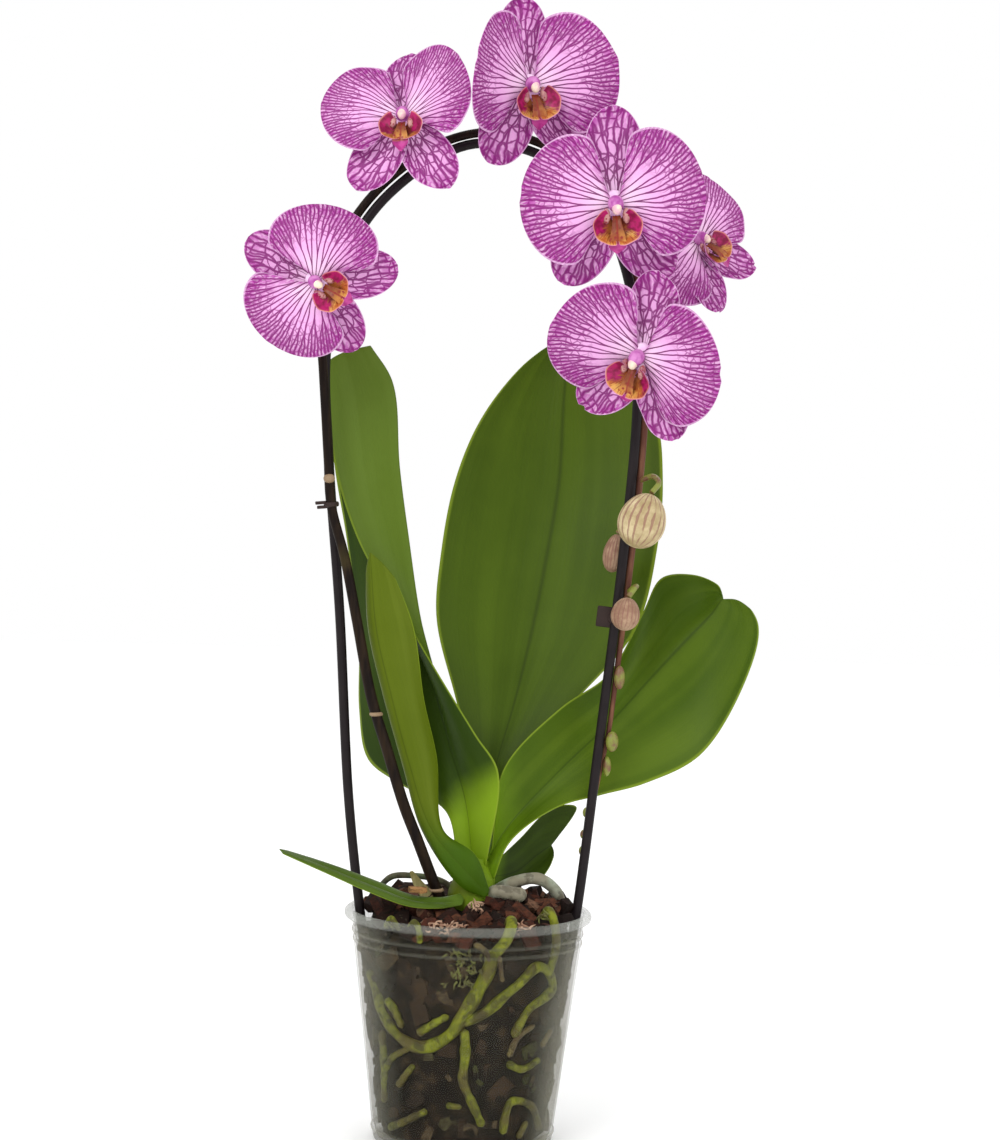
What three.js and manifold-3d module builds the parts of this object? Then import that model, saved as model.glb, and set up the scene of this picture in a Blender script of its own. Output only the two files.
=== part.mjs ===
// Potted moth orchid: clear pot, bark, roots, six leaves, and a flower stalk tied to a wire arch.
// Millimetres. Origin: centre of the pot's underside. +X is right, +Y is back, +Z is up.
import * as THREE from "three";
import { mergeVertices } from "three/addons/utils/BufferGeometryUtils.js";
import Module from "manifold-3d";

const wasm = await Module();
wasm.setup();

// ---------- driving dimensions ----------
const CLEARANCE = 0.3;

const POT = {
  height: 112, topRadius: 56.9, baseRadius: 43.4, wall: 1.1, floor: 1.4, chamfer: 1, mouthChamfer: 1.5,
  rimRadius: 60, rimDrop: 4.5, rimRound: 1.2, ribs: [5.5, 97.2, 101.5], ribHeight: 0.6, ribHalfWidth: 0.9,
  sides: 24, holeRadius: 3, holeCircle: 27, holes: 6, holeSides: 10,
};
// Bark fills the pot. Loose chips lie on it in a sunflower spiral, a little higher in the middle.
const BARK = {
  bottom: 2, edgeTop: 103.5, middleTop: 110, sides: 18,
  chips: 17, chipSeed: 11, chipReach: 45, chipAngle: 2.39996, chipHeight: 107, chipRise: 3, mound: 0.12,
  chipSize: [13, 8, 4], chipVary: [7, 6, 2.5], chipTilt: 0.9,
};

const HOOP = {
  radius: 2.35, sides: 8, steps: 34,
  path: [
    [-46.5, 0, 72], [-52.8, 0, 112], [-59.5, 0, 166], [-66, 0, 255], [-73, 0, 328], [-75.5, 0, 380],
    [-68, 0, 423], [-47, 0, 456], [-8, 0, 480.5], [32, 0, 472.5], [60, 0, 440], [73, 0, 396],
    [74.5, 0, 353], [69.5, 0, 280], [61, 0, 194], [52.8, 0, 114], [46.5, 0, 72],
  ],
};

// The stalk is free up to the tie, then it keeps this spacing to the arch. It starts in front of the wire,
// turns outside it where it leaves the left leg, and on the right leg it slips behind.
const SPIKE = {
  baseRadius: 2.8, archRadius: 2.15, rightRadius: 1.75, tipRadius: 1.0, sides: 6, steps: 48,
  free: [[-7, -5, 102], [-11, -8, 112], [-18, -13, 129], [-25, -17, 147], [-32, -18, 164], [-41, -17, 191],
    [-49, -15, 215], [-57, -11, 251], [-63.5, -8, 280]],
  archFrom: 0.263, archTo: 0.925, archSteps: 28, spacing: 5.2, rightSpacing: 4.5,
  toOutside: [0.32, 0.4], toBack: [0.5, 0.62, 28], toFarBack: [0.85, 0.9, 52],
  rings: [[-15.5, -11, 122.5, 3.7], [-46.5, -15.7, 207, 3.3]], ringHalfHeight: 1.6, archRing: 0.277,
  // The smallest buds: share of the arch, shift from the stalk's middle, half sizes.
  tinyBuds: [
    [0.826, [1.6, -2.6, 0], [2.6, 2.6, 5.8]], [0.861, [2.4, -2.6, 0], [3.1, 3.1, 5]],
    [0.875, [2.6, -1.2, 0], [2.1, 2.4, 4.8]], [0.901, [-2.4, 0, 0], [1.9, 1.9, 2.6]],
    [0.913, [-2.3, 0, 0], [1.9, 1.9, 2.4]], [0.922, [-2.1, 0, 0], [1.7, 1.7, 2.4]],
  ],
};

// Rails run from the base to the tip: one margin, the midrib, the other margin.
const LEAVES = {
  leaf_tall: {
    thickness: 2.0, arch: 3, across: 6, along: 10, color: 0x3c5a12,
    rails: [
      [[3, 8, 129], [3, 14, 168], [-9, 22, 211], [-20, 32, 250], [-19, 40, 281], [-13, 46, 318],
        [-1, 52, 349], [18, 57, 375], [36, 60, 390]],
      [[5, 10, 129], [10, 20, 173], [20, 30, 211], [28, 38, 248], [34, 44, 283], [39, 50, 319],
        [40, 55, 354], [41, 59, 380], [41, 61, 393]],
      [[8, 8, 129], [17, 14, 169], [46, 22, 208], [78, 20, 248], [88, 26, 290], [90, 36, 322],
        [86, 46, 352], [67, 55, 379], [48, 60, 392]],
    ],
  },
  leaf_right: {
    thickness: 2.0, arch: 3, across: 6, along: 11, color: 0x44661a,
    rails: [
      [[11, 0, 141], [15, 2, 180], [42, 10, 210], [65, 20, 226], [82, 38, 256], [91, 44, 273],
        [107, 42, 275], [118, 36, 271], [120, 33, 268]],
      [[7, 2, 133], [18, 6, 151], [43, 14, 179], [68, 20, 204], [86, 26, 224], [105, 30, 245],
        [116, 31, 257], [120, 31, 263], [121, 31, 264]],
      [[12, -4, 127], [19, -6, 146], [41, 1, 162], [63, 8, 168], [85, 12, 174], [112, 14, 189],
        [134, 16, 230], [138, 20, 252], [131, 26, 265]],
    ],
  },
  leaf_left: {
    thickness: 2.0, arch: 3, across: 6, along: 11, color: 0x5a7a30,
    rails: [
      [[8, -4, 133], [13, -3.5, 179], [1.5, -2.5, 197], [-17, 0, 225], [-37, 4, 256], [-56, 8, 284],
        [-69, 8, 318], [-75.5, 10, 352], [-77, 12, 378]],
      [[2, 4, 129], [-3, 8, 164], [-11, 12, 192], [-19, 16, 222], [-27, 17, 252], [-33.5, 16, 290],
        [-39, 15, 326], [-43.1, 14, 366.5], [-54.5, 13.5, 383.5]],
      [[-6, 0, 134], [-12, 6, 158], [-35, 20, 169], [-52, 30, 180], [-57, 34, 204], [-58, 34, 238],
        [-65, 30, 288], [-72, 24, 327], [-75, 16, 379]],
    ],
  },
  leaf_front: {
    thickness: 1.6, arch: 1.5, across: 4, along: 9, color: 0x7d8f2c,
    rails: [
      [[10, -11, 123], [2.5, -13.5, 141], [-13, -8, 151], [-17, -1, 185], [-24, 0, 213], [-30, 1, 248],
        [-41, 0, 275]],
      [[9.5, -12, 121], [-1, -15.5, 132], [-19, -10, 152], [-30, -8, 182], [-40, -7, 216], [-48, -5, 247],
        [-52, -2, 284]],
      [[8, -12.5, 119.5], [-4, -15, 125], [-24, -8, 152], [-32, -3, 180], [-44, -1, 217], [-52, 0, 247],
        [-54, 0, 277]],
    ],
  },
  leaf_small: {
    thickness: 1.8, arch: 1.5, across: 4, along: 7, color: 0x3f5f1a,
    rails: [
      [[10, 12, 131], [24, 20, 144], [40, 28, 159], [52, 32, 159], [44, 30, 145]],
      [[9, 10, 126], [22, 16, 128], [32, 24, 135], [38, 28, 139], [40, 29, 140]],
      [[9, 6, 120], [21, 10, 121], [34, 14, 125], [39, 20, 130], [42, 26, 137]],
    ],
  },
  leaf_low: {
    thickness: 1.6, arch: 0.8, across: 4, along: 8, color: 0x6d9a2a,
    rails: [
      [[-3, -9, 121], [-14, -18, 120], [-28, -19, 121], [-43, -21, 127], [-64, -26, 135], [-87, -34, 143]],
      [[-2, -12, 118], [-13, -22, 117.5], [-26, -25, 118.5], [-44, -28, 125], [-66, -33, 134],
        [-90, -37, 144]],
      [[-3, -15, 116], [-14, -27, 116], [-28, -30, 117], [-47, -34, 124], [-67, -38, 133], [-88, -39, 142]],
    ],
  },
};
const CROWN = {
  path: [[1, 0, 100], [1.5, 0, 112], [2, 0, 122], [4, 2, 135], [5.5, 3, 142]],
  radii: [9, 12, 12, 9.5, 5],
};

// Blooms: centre, scale, and turns in degrees. Yaw turns the face right, pitch up, roll counter-clockwise.
// Each petal, left then right, has its turn round the centre, its sweep back and its share of full width.
// The sepals share one sweep. The pedicel leaves the stalk at a share of the arch's length.
const BLOOMS = [
  {
    at: [-78.5, -45, 411.3], scale: 0.87, yaw: -1, pitch: -8, roll: 64,
    petals: [[172, 12, 1], [16, 23, 1]], sepals: 7, from: 0.372, leave: [-3, -10, 2],
  },
  {
    at: [-40, -36, 488.2], scale: 0.9, yaw: -7, pitch: 25, roll: 3,
    petals: [[167, -3, 0.83], [32, -30, 0.82]], sepals: 1, from: 0.45, leave: [-1, -9, 4],
  },
  {
    at: [18.3, -27, 506.1], scale: 0.96, yaw: 19, pitch: 4, roll: 7,
    petals: [[160, -32, 1], [11, -24, 1]], sepals: -8, from: 0.515, leave: [2, -6, 6],
  },
  {
    at: [58.9, -54, 450.7], scale: 1.01, yaw: 6, pitch: -9, roll: 4,
    petals: [[173, 4, 1], [13, 9, 1]], sepals: -2, from: 0.565, leave: [1, -10, 2],
  },
  {
    at: [100.5, 8, 437.2], scale: 0.85, yaw: 38, pitch: 23, roll: 39,
    petals: [[171, 22, 1], [24, -2, 1]], sepals: -10, from: 0.6, leave: [7, 3, 3],
  },
  {
    at: [74, -40, 381.3], scale: 1.0, yaw: -30, pitch: -19, roll: -20,
    petals: [[166, -22, 1], [10, -2, 1]], sepals: -10, from: 0.65, leave: [2, -9, 1],
  },
];
const PEDICEL = { radius: 1.35, behind: 13, gap: 0.45, node: 2.8, nodeOut: 0.9, sides: 5, steps: 5 };

// Tepals in the bloom's own frame: x right, y up, z forward. Petals lie in front of the sepals.
const TEPAL = {
  thickness: 0.9, turnVary: 5,
  kinds: {
    sepal: {
      length: 44, halfWidth: 13.5, claw: 4, tip: 3, skew: 1.15, opening: 0.2,
      lift: -1.6, bow: -2.5, sag: -5, across: 2, along: 5,
    },
    petal: {
      length: 43.5, halfWidth: 30, claw: 2.6, tip: 5, skew: 0.92, opening: 0.34,
      lift: 1.2, bow: 5, sag: 1, across: 4, along: 6,
    },
  },
  sepalTurns: [90, -125, -55],
};
const COLUMN = { at: [0, -0.5, 4.5], radii: [3.6, 4.2, 5] };
const CORE = { at: [0, 0, 0], radii: [6.5, 6.5, 3.2] };
// The lip: an arrow-shaped middle lobe that arches forward, and two side lobes that curl up beside it.
const LIP = {
  thickness: 0.9, foot: -5.1, footLift: 3.2, tip: -23, midLift: 1.5, midArch: 7, midFold: 1.6,
  midHalfWidth: 6.5, midNeck: 0.42, midPoint: 0.1, barb: 0.62,
  lobeRoot: 1.5, lobeReach: 9.5, lobeLift: 2.6, lobeForward: 9, lobeCurl: 1.35,
  lobeNeck: 3.2, lobeHalfHeight: 8.5, lobeMiddle: -12, lobeRise: 2.2,
  callusAt: -11, callusLift: 3, callusRadii: [3, 4.4, 2.8],
};

// Buds: centre, half lengths across and along, and the way the bud points.
const BUDS = {
  bud_1: {
    at: [78, -16, 303], across: 11.6, along: 13.4, sides: 9,
    pedicel: [[77.5, 1.5, 322], [83, -5, 324], [85.5, -11, 321], [82, -15, 316.4]],
  },
  bud_2: {
    at: [66, 9.5, 286], across: 5.4, along: 9.4, sides: 8,
    pedicel: [[75.5, 2, 300], [71, 7, 301], [67.5, 9.3, 296]],
  },
  bud_3: {
    at: [71.5, -12, 258], across: 7, along: 8, sides: 8,
    pedicel: [[73, 1.8, 268], [76.5, -4, 271], [75, -9.5, 269.5], [72.6, -11.6, 266.2]],
  },
};
// Fasteners: where on the arch, the half sizes of the ring across, deep and high, and of its tabs.
const TIES = {
  clip_right: {
    share: 0.795, ring: [6.1, 4, 2.3],
    tabs: [{ at: [-6.8, 0, 0.6], half: [4.4, 1.5, 5] }],
  },
  tie_left: {
    share: 0.263, ring: [3.7, 6.4, 1.3],
    tabs: [{ at: [-4.9, -3, 1.2], half: [2.6, 0.8, 0.8] }, { at: [-4.5, -3, -0.9], half: [2.3, 0.8, 0.8] }],
  },
};
const AERIAL_ROOTS = {
  aerial_root_1: { radius: 3.5, path: [[6, -3, 117], [13, -7, 121.5], [20, -9, 121.5], [28, -10, 120.5]] },
  aerial_root_2: {
    radius: 2.9,
    path: [[8, 3, 117], [19, 3, 124], [33, 4, 127], [42, 7, 121], [46, 9, 110]],
  },
  aerial_root_3: {
    radius: 1.5,
    path: [[-4, 6, 118], [-14, 9, 124], [-27, 9, 126], [-38, 10, 125], [-44, 12, 118], [-46, 12, 107]],
  },
};
const BRACT = {
  path: [[-13, -10, 116], [-19, -8, 119], [-24, -8, 124.5], [-28, -9, 131]],
  halfWidth: 3.5, taper: 0.8, cup: 0.8, tilt: 0.4, thickness: 1,
};
const BARK_CHIP = { at: [-24, -24, 124.2], size: [9, 5, 2.6], turn: [0.1, -0.05, 0.2] };

// Root paths on the front wall: across and up. Each runs just inside the wall.
const ROOTS = {
  radius: 2.1, fine: 1.6, stepLength: 12, foot: [1, 0, 92], footRadii: [13, 12, 8],
  feeders: [
    [[4, -4, 92], [12, -16, 103], [20, -28, 112.5], [22, -38, 110], [21, -44, 102], [18, -47.9, 94]],
    [[8, -2, 94], [24, -14, 108], [36, -22, 113], [41, -27, 106], [42, -29, 95], [39, -31.5, 84]],
  ],
  paths: [
    {
      wide: true,
      points: [[18, 94], [12, 90], [8, 81], [1, 68], [-8, 58], [-19, 48], [-32, 54], [-41, 66]],
    },
    { points: [[1.5, 67.5], [15, 75], [26, 83], [31, 88], [39, 84], [36, 76], [28, 71], [22, 58]] },
    { wide: true, points: [[1, 68], [1, 43], [2, 32], [6, 21], [10, 10]] },
    { points: [[-41, 66], [-41, 54], [-39, 37], [-38, 12]] },
    { points: [[-8, 58], [-14, 63], [-23, 57], [-29, 60], [-36, 71]] },
    { points: [[2, 32], [-12, 28], [-23, 20], [-34, 9]] },
    { points: [[6, 21], [20, 12], [22, 25], [32, 23], [36, 8]] },
    { points: [[1, 43], [12, 40], [25, 42], [35, 45]] },
  ],
};

// Facets of the small round pieces: how many round, and how many down.
const FACETS = {
  ring: [7, 3], node: [6, 3], tinyBud: [6, 4], core: [7, 3], column: [6, 4], callus: [5, 3],
  rootFoot: [10, 6],
};

const COLORS = {
  pot: 0xc8ccd0, bark: 0x3a2a22, root: 0x8a9a2e, silver: 0xa8b59a, crown: 0x86a414, spike: 0x3a2620,
  hoop: 0x1c161c, bud: 0xb79a6a, tepal: 0xd79ad8, lip: 0xa81658, chip: 0x8a4a1e, tie: 0x141216,
};

// ---------- helpers ----------
const vector = (xyz) => new THREE.Vector3(...xyz);
const curveOf = (points) => new THREE.CatmullRomCurve3(points.map(vector));
const lerp = THREE.MathUtils.lerp;
const radians = THREE.MathUtils.degToRad;
// How far x has come through a stretch, from 0 to 1, with soft ends.
const through = (x, [from, to]) => THREE.MathUtils.smoothstep(x, from, to);

function seededRandom(seed) {
  let state = seed;
  return () => {
    state = (state * 1664525 + 1013904223) % 4294967296;
    return state / 4294967296;
  };
}

function toSolid(geometry) {
  const bare = geometry.clone();
  bare.deleteAttribute("normal");
  bare.deleteAttribute("uv");
  const merged = mergeVertices(bare, 1e-4);
  const vertProperties = Float32Array.from(merged.attributes.position.array);
  const triVerts = Uint32Array.from(merged.index.array);
  return new wasm.Manifold(new wasm.Mesh({ numProp: 3, vertProperties, triVerts }));
}

function toGeometry(solid) {
  const mesh = solid.getMesh();
  const geometry = new THREE.BufferGeometry();
  geometry.setAttribute("position", new THREE.BufferAttribute(Float32Array.from(mesh.vertProperties), 3));
  geometry.setIndex(new THREE.BufferAttribute(Uint32Array.from(mesh.triVerts), 1));
  return geometry;
}

// Drops the scraps that a cut leaves loose.
function largest(solid) {
  return solid.decompose().reduce((best, piece) => (piece.volume() > best.volume() ? piece : best));
}

const joined = (solids) => solids.reduce((sum, solid) => sum.add(solid));
const without = (solid, cutters) => cutters.reduce((left, cutter) => left.subtract(cutter), solid);

// A round rod swept along a curve. Its radius is a function of the share of the length.
// The extra makes it thicker and longer by that much all round, to cut a clear hole.
function rod(curve, radiusAt, sides, steps, extra = 0) {
  const geometry = new THREE.CylinderGeometry(1, 1, 1, sides, steps);
  const frames = curve.computeFrenetFrames(steps);
  const position = geometry.attributes.position;
  for (let i = 0; i < position.count; i++) {
    const along = position.getY(i) + 0.5;
    const row = Math.round(along * steps);
    const radius = radiusAt(along) + extra;
    const point = curve.getPointAt(along);
    const beyond = row === 0 ? -extra : row === steps ? extra : 0;
    point.addScaledVector(frames.tangents[row], beyond);
    point.addScaledVector(frames.normals[row], position.getX(i) * radius);
    point.addScaledVector(frames.binormals[row], -position.getZ(i) * radius);
    position.setXYZ(i, point.x, point.y, point.z);
  }
  return toSolid(geometry);
}

function ellipsoid(at, radii, [across, down], grow = 0) {
  const geometry = new THREE.SphereGeometry(1, across, down);
  geometry.scale(...radii.map((radius) => radius + grow));
  geometry.translate(...at);
  return toSolid(geometry);
}

// A solid of revolution round Z from pairs of radius and height.
function lathe(profile, sides) {
  const points = profile.map(([radius, height]) => new THREE.Vector2(radius, height));
  return toSolid(new THREE.LatheGeometry(points, sides).rotateX(Math.PI / 2));
}

// A thin blade: pointAt(u, v) gives its middle surface for u from -1 to 1 and v from 0 to 1.
// Both faces are split into triangles alike.
function blade(pointAt, across, along, thickness) {
  const positions = [];
  const index = [];
  const step = 1e-3;
  const half = (across + 1) * (along + 1);
  for (const side of [0.5, -0.5]) {
    for (let j = 0; j <= along; j++) {
      for (let i = 0; i <= across; i++) {
        const u = (2 * i) / across - 1;
        const v = j / along;
        const u0 = Math.max(u - step, -1);
        const u1 = Math.min(u + step, 1);
        const v0 = Math.max(v - step, 0);
        const v1 = Math.min(v + step, 1);
        const du = pointAt(u1, v).sub(pointAt(u0, v));
        const dv = pointAt(u, v1).sub(pointAt(u, v0));
        const normal = du.cross(dv).normalize();
        const point = pointAt(u, v).addScaledVector(normal, side * thickness);
        positions.push(point.x, point.y, point.z);
      }
    }
  }
  const at = (i, j) => j * (across + 1) + i;
  for (let j = 0; j < along; j++) {
    for (let i = 0; i < across; i++) {
      const [a, b, c, d] = [at(i, j), at(i + 1, j), at(i + 1, j + 1), at(i, j + 1)];
      index.push(a, b, c, a, c, d);
      index.push(a + half, c + half, b + half, a + half, d + half, c + half);
    }
  }
  const edge = (a, b) => index.push(a, a + half, b + half, a, b + half, b);
  for (let i = 0; i < across; i++) {
    edge(at(i, 0), at(i + 1, 0));
    edge(at(i + 1, along), at(i, along));
  }
  for (let j = 0; j < along; j++) {
    edge(at(across, j), at(across, j + 1));
    edge(at(0, j + 1), at(0, j));
  }
  const geometry = new THREE.BufferGeometry();
  geometry.setAttribute("position", new THREE.Float32BufferAttribute(positions, 3));
  geometry.setIndex(index);
  return toSolid(geometry);
}

const orchid = new THREE.Group();

function place(name, solid, color, roughness, metalness = 0) {
  const material = new THREE.MeshStandardMaterial({ color, roughness, metalness });
  const mesh = new THREE.Mesh(toGeometry(solid), material);
  mesh.name = name;
  orchid.add(mesh);
  return mesh;
}

// ---------- support hoop and flower stalk paths ----------
const hoopCurve = curveOf(HOOP.path);
const hoop = (grow = 0) => rod(hoopCurve, () => HOOP.radius, HOOP.sides, HOOP.steps, grow);

// A point beside the arch: turn 0 is outside the arch, 90 in front of it, -90 behind it.
function besideHoop(share, turn, spacing) {
  const point = hoopCurve.getPointAt(share);
  const tangent = hoopCurve.getTangentAt(share);
  const angle = radians(turn);
  const outward = new THREE.Vector3(-tangent.z, 0, tangent.x);
  point.addScaledVector(outward, Math.cos(angle) * spacing);
  point.y -= Math.sin(angle) * spacing;
  return point;
}

function spikeTurn(share) {
  const { toOutside, toBack, toFarBack } = SPIKE;
  const back = toBack[2] * through(share, toBack) + toFarBack[2] * through(share, toFarBack);
  return 90 * (1 - through(share, toOutside)) - back;
}

function spikePoint(share, further = 0) {
  const spacing = lerp(SPIKE.spacing, SPIKE.rightSpacing, through(share, [0.5, 0.7]));
  return besideHoop(share, spikeTurn(share), spacing + further);
}

function spikeCurvePoints() {
  const points = SPIKE.free.map(vector);
  for (let i = 0; i <= SPIKE.archSteps; i++) {
    const share = lerp(SPIKE.archFrom, SPIKE.archTo, i / SPIKE.archSteps);
    points.push(spikePoint(share));
  }
  return points;
}
const spikeCurve = new THREE.CatmullRomCurve3(spikeCurvePoints());

function spikeRadius(along) {
  const toArch = lerp(SPIKE.baseRadius, SPIKE.archRadius, through(along, [0, 0.4]));
  const toRight = lerp(toArch, SPIKE.rightRadius, through(along, [0.5, 0.7]));
  return lerp(toRight, SPIKE.tipRadius, through(along, [0.78, 1]));
}
const stem = (grow = 0) => rod(spikeCurve, spikeRadius, SPIKE.sides, SPIKE.steps, grow);

// ---------- blooms ----------
function bloomMatrix(bloom) {
  const yaw = radians(bloom.yaw);
  const pitch = radians(bloom.pitch);
  const facing = new THREE.Vector3(
    Math.sin(yaw) * Math.cos(pitch), -Math.cos(yaw) * Math.cos(pitch), Math.sin(pitch));
  const right = new THREE.Vector3(Math.cos(yaw), Math.sin(yaw), 0);
  const up = facing.clone().cross(right);
  const matrix = new THREE.Matrix4().makeBasis(right, up, facing);
  matrix.multiply(new THREE.Matrix4().makeRotationZ(radians(bloom.roll)));
  matrix.scale(new THREE.Vector3(bloom.scale, bloom.scale, bloom.scale));
  return matrix.setPosition(...bloom.at);
}

const thinRod = (curve, grow = 0) => rod(curve, () => PEDICEL.radius, PEDICEL.sides, PEDICEL.steps, grow);

// The pedicel leaves the stalk forwards and meets the bloom's back square on.
function pedicel(bloom) {
  const start = spikePoint(bloom.from);
  const matrix = bloomMatrix(bloom);
  const back = new THREE.Vector3(0, 0, -CORE.radii[2] - PEDICEL.gap / bloom.scale).applyMatrix4(matrix);
  const behind = new THREE.Vector3(0, 0, -PEDICEL.behind).applyMatrix4(matrix);
  const leaving = start.clone().add(vector(bloom.leave));
  const curve = new THREE.CatmullRomCurve3([start, leaving, behind, back]);
  return thinRod(curve);
}

const ring = ([x, y, z, radius], grow = 0) =>
  ellipsoid([x, y, z], [radius, radius, SPIKE.ringHalfHeight], FACETS.ring, grow);

function stalkSolid() {
  const parts = [stem(), ...SPIKE.rings.map((spot) => ring(spot))];
  for (const share of [SPIKE.archRing, ...BLOOMS.map((bloom) => bloom.from)]) {
    const at = spikePoint(share, PEDICEL.nodeOut).toArray();
    parts.push(ellipsoid(at, Array(3).fill(PEDICEL.node), FACETS.node));
  }
  parts.push(...BLOOMS.map(pedicel));
  for (const bud of Object.values(BUDS)) {
    parts.push(thinRod(curveOf(bud.pedicel)));
  }
  for (const [share, shift, radii] of SPIKE.tinyBuds) {
    parts.push(ellipsoid(spikePoint(share).add(vector(shift)).toArray(), radii, FACETS.tinyBud));
  }
  return joined(parts);
}

// A tepal's middle surface. Rows lie closer towards the round tip, and the sweep grows along the tepal.
function tepalSurface(kind, degrees, sweep, width) {
  const angle = radians(degrees);
  const side = new THREE.Vector3(-Math.sin(angle), Math.cos(angle), 0);
  const axis = new THREE.Vector3(Math.cos(angle), Math.sin(angle), 0);
  return (u, v) => {
    const s = 1 - (1 - v) ** 1.7;
    const round = Math.sqrt(Math.max(0, 1 - (2 * s ** kind.skew - 1) ** 2));
    const full = kind.halfWidth * round * through(s / kind.opening + 0.03, [0, 1]);
    const halfWidth = Math.max(full, lerp(kind.claw, kind.tip, s));
    const lift = kind.lift + kind.bow * Math.sin(Math.PI * 0.9 * s) * (1 - 0.6 * u * u) + kind.sag * s * s;
    const back = radians(sweep) * s;
    const point = new THREE.Vector3(0, 0, lift - kind.length * s * Math.sin(back));
    point.addScaledVector(axis, kind.length * s * Math.cos(back));
    return point.addScaledVector(side, u * width * halfWidth);
  };
}

function tepals(bloom, seed) {
  const random = seededRandom(seed);
  const core = ellipsoid(CORE.at, CORE.radii, FACETS.core);
  const parts = [core, ellipsoid(COLUMN.at, COLUMN.radii, FACETS.column)];
  const add = (kind, surface) => parts.push(blade(surface, kind.across, kind.along, TEPAL.thickness));
  const { sepal, petal } = TEPAL.kinds;
  for (const degrees of TEPAL.sepalTurns) {
    const turned = degrees + (random() - 0.5) * TEPAL.turnVary;
    add(sepal, tepalSurface(sepal, turned, bloom.sepals, 1));
  }
  for (const [degrees, sweep, width] of bloom.petals) {
    add(petal, tepalSurface(petal, degrees, sweep, width));
  }
  return joined(parts);
}

function midLobe(u, v) {
  const widening = LIP.midNeck + (1 - LIP.midNeck) * through(v, [0, LIP.barb]);
  const narrowing = 1 - (1 - LIP.midPoint) * ((v - LIP.barb) / (1 - LIP.barb));
  const arrow = v < LIP.barb ? widening : narrowing;
  const arch = LIP.midArch * Math.sin(Math.PI * 0.8 * v) + LIP.midLift * (1 - v);
  const forward = LIP.footLift + arch + LIP.midFold * u * u * arrow;
  return new THREE.Vector3(u * LIP.midHalfWidth * arrow, lerp(LIP.foot, LIP.tip, v), forward);
}

function sideLobe(side) {
  return (u, v) => {
    const curl = v * LIP.lobeCurl;
    const belly = Math.sin(Math.PI * Math.min(1, 0.12 + 0.82 * v));
    const half = lerp(LIP.lobeNeck, LIP.lobeHalfHeight, belly);
    const x = side * (LIP.lobeRoot + LIP.lobeReach * Math.sin(curl));
    const z = LIP.footLift + LIP.lobeLift + LIP.lobeForward * (1 - Math.cos(curl));
    return new THREE.Vector3(x, LIP.lobeMiddle + LIP.lobeRise * v - u * side * half, z);
  };
}

function lip() {
  return joined([
    blade(midLobe, 2, 4, LIP.thickness),
    blade(sideLobe(-1), 3, 3, LIP.thickness),
    blade(sideLobe(1), 3, 3, LIP.thickness),
    ellipsoid([0, LIP.callusAt, LIP.footLift + LIP.callusLift], LIP.callusRadii, FACETS.callus),
  ]);
}

// ---------- leaves ----------
// Each half of a leaf spans from its midrib to its margin and swells a little between them.
function leafSurface(leaf) {
  const [first, rib, second] = leaf.rails.map(curveOf);
  return (u, v) => {
    const ahead = rib.getPoint(Math.min(1, v + 0.01)).sub(rib.getPoint(Math.max(0, v - 0.01)));
    const middle = rib.getPoint(v);
    const margin = (u < 0 ? first : second).getPoint(v);
    const reach = margin.clone().sub(middle);
    const swell = reach.clone().cross(ahead).normalize().multiplyScalar(u < 0 ? 1 : -1);
    const share = Math.abs(u);
    const point = middle.addScaledVector(reach, share);
    return point.addScaledVector(swell, leaf.arch * 4 * share * (1 - share) * Math.sin(Math.PI * v));
  };
}

// ---------- bark, roots, crown ----------
function innerRadius(z) {
  return lerp(POT.baseRadius, POT.topRadius, z / POT.height) - POT.wall;
}

// The faceted wall is nearest the axis in the middle of a facet.
const innerFlat = (z) => innerRadius(z) * Math.cos(Math.PI / POT.sides);

function potSolid() {
  const { height, topRadius, baseRadius, wall, floor, chamfer, rimRadius, rimDrop, rimRound } = POT;
  const outer = (z) => lerp(baseRadius, topRadius, z / height);
  const underRim = height - rimDrop;
  const mouth = height - POT.mouthChamfer;
  const profile = [[0, 0], [baseRadius - chamfer, 0], [baseRadius, chamfer]];
  for (const z of POT.ribs) {
    for (const [shift, out] of [[-POT.ribHalfWidth, 0], [0, POT.ribHeight], [POT.ribHalfWidth, 0]]) {
      profile.push([outer(z) + out, z + shift]);
    }
  }
  profile.push(
    [outer(underRim), underRim - chamfer], [rimRadius - rimRound, underRim],
    [rimRadius, underRim + chamfer], [rimRadius, height - rimRound], [rimRadius - rimRound, height],
    [topRadius, height], [innerRadius(mouth), mouth], [innerRadius(floor), floor], [0, floor]);
  const cutters = [];
  for (let i = 0; i < POT.holes; i++) {
    const angle = (2 * Math.PI * i) / POT.holes;
    const hole = new THREE.CylinderGeometry(POT.holeRadius, POT.holeRadius, 4 * floor, POT.holeSides);
    hole.rotateX(Math.PI / 2);
    hole.translate(POT.holeCircle * Math.cos(angle), POT.holeCircle * Math.sin(angle), 0);
    cutters.push(toSolid(hole));
  }
  return without(lathe(profile, POT.sides), cutters);
}

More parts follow.
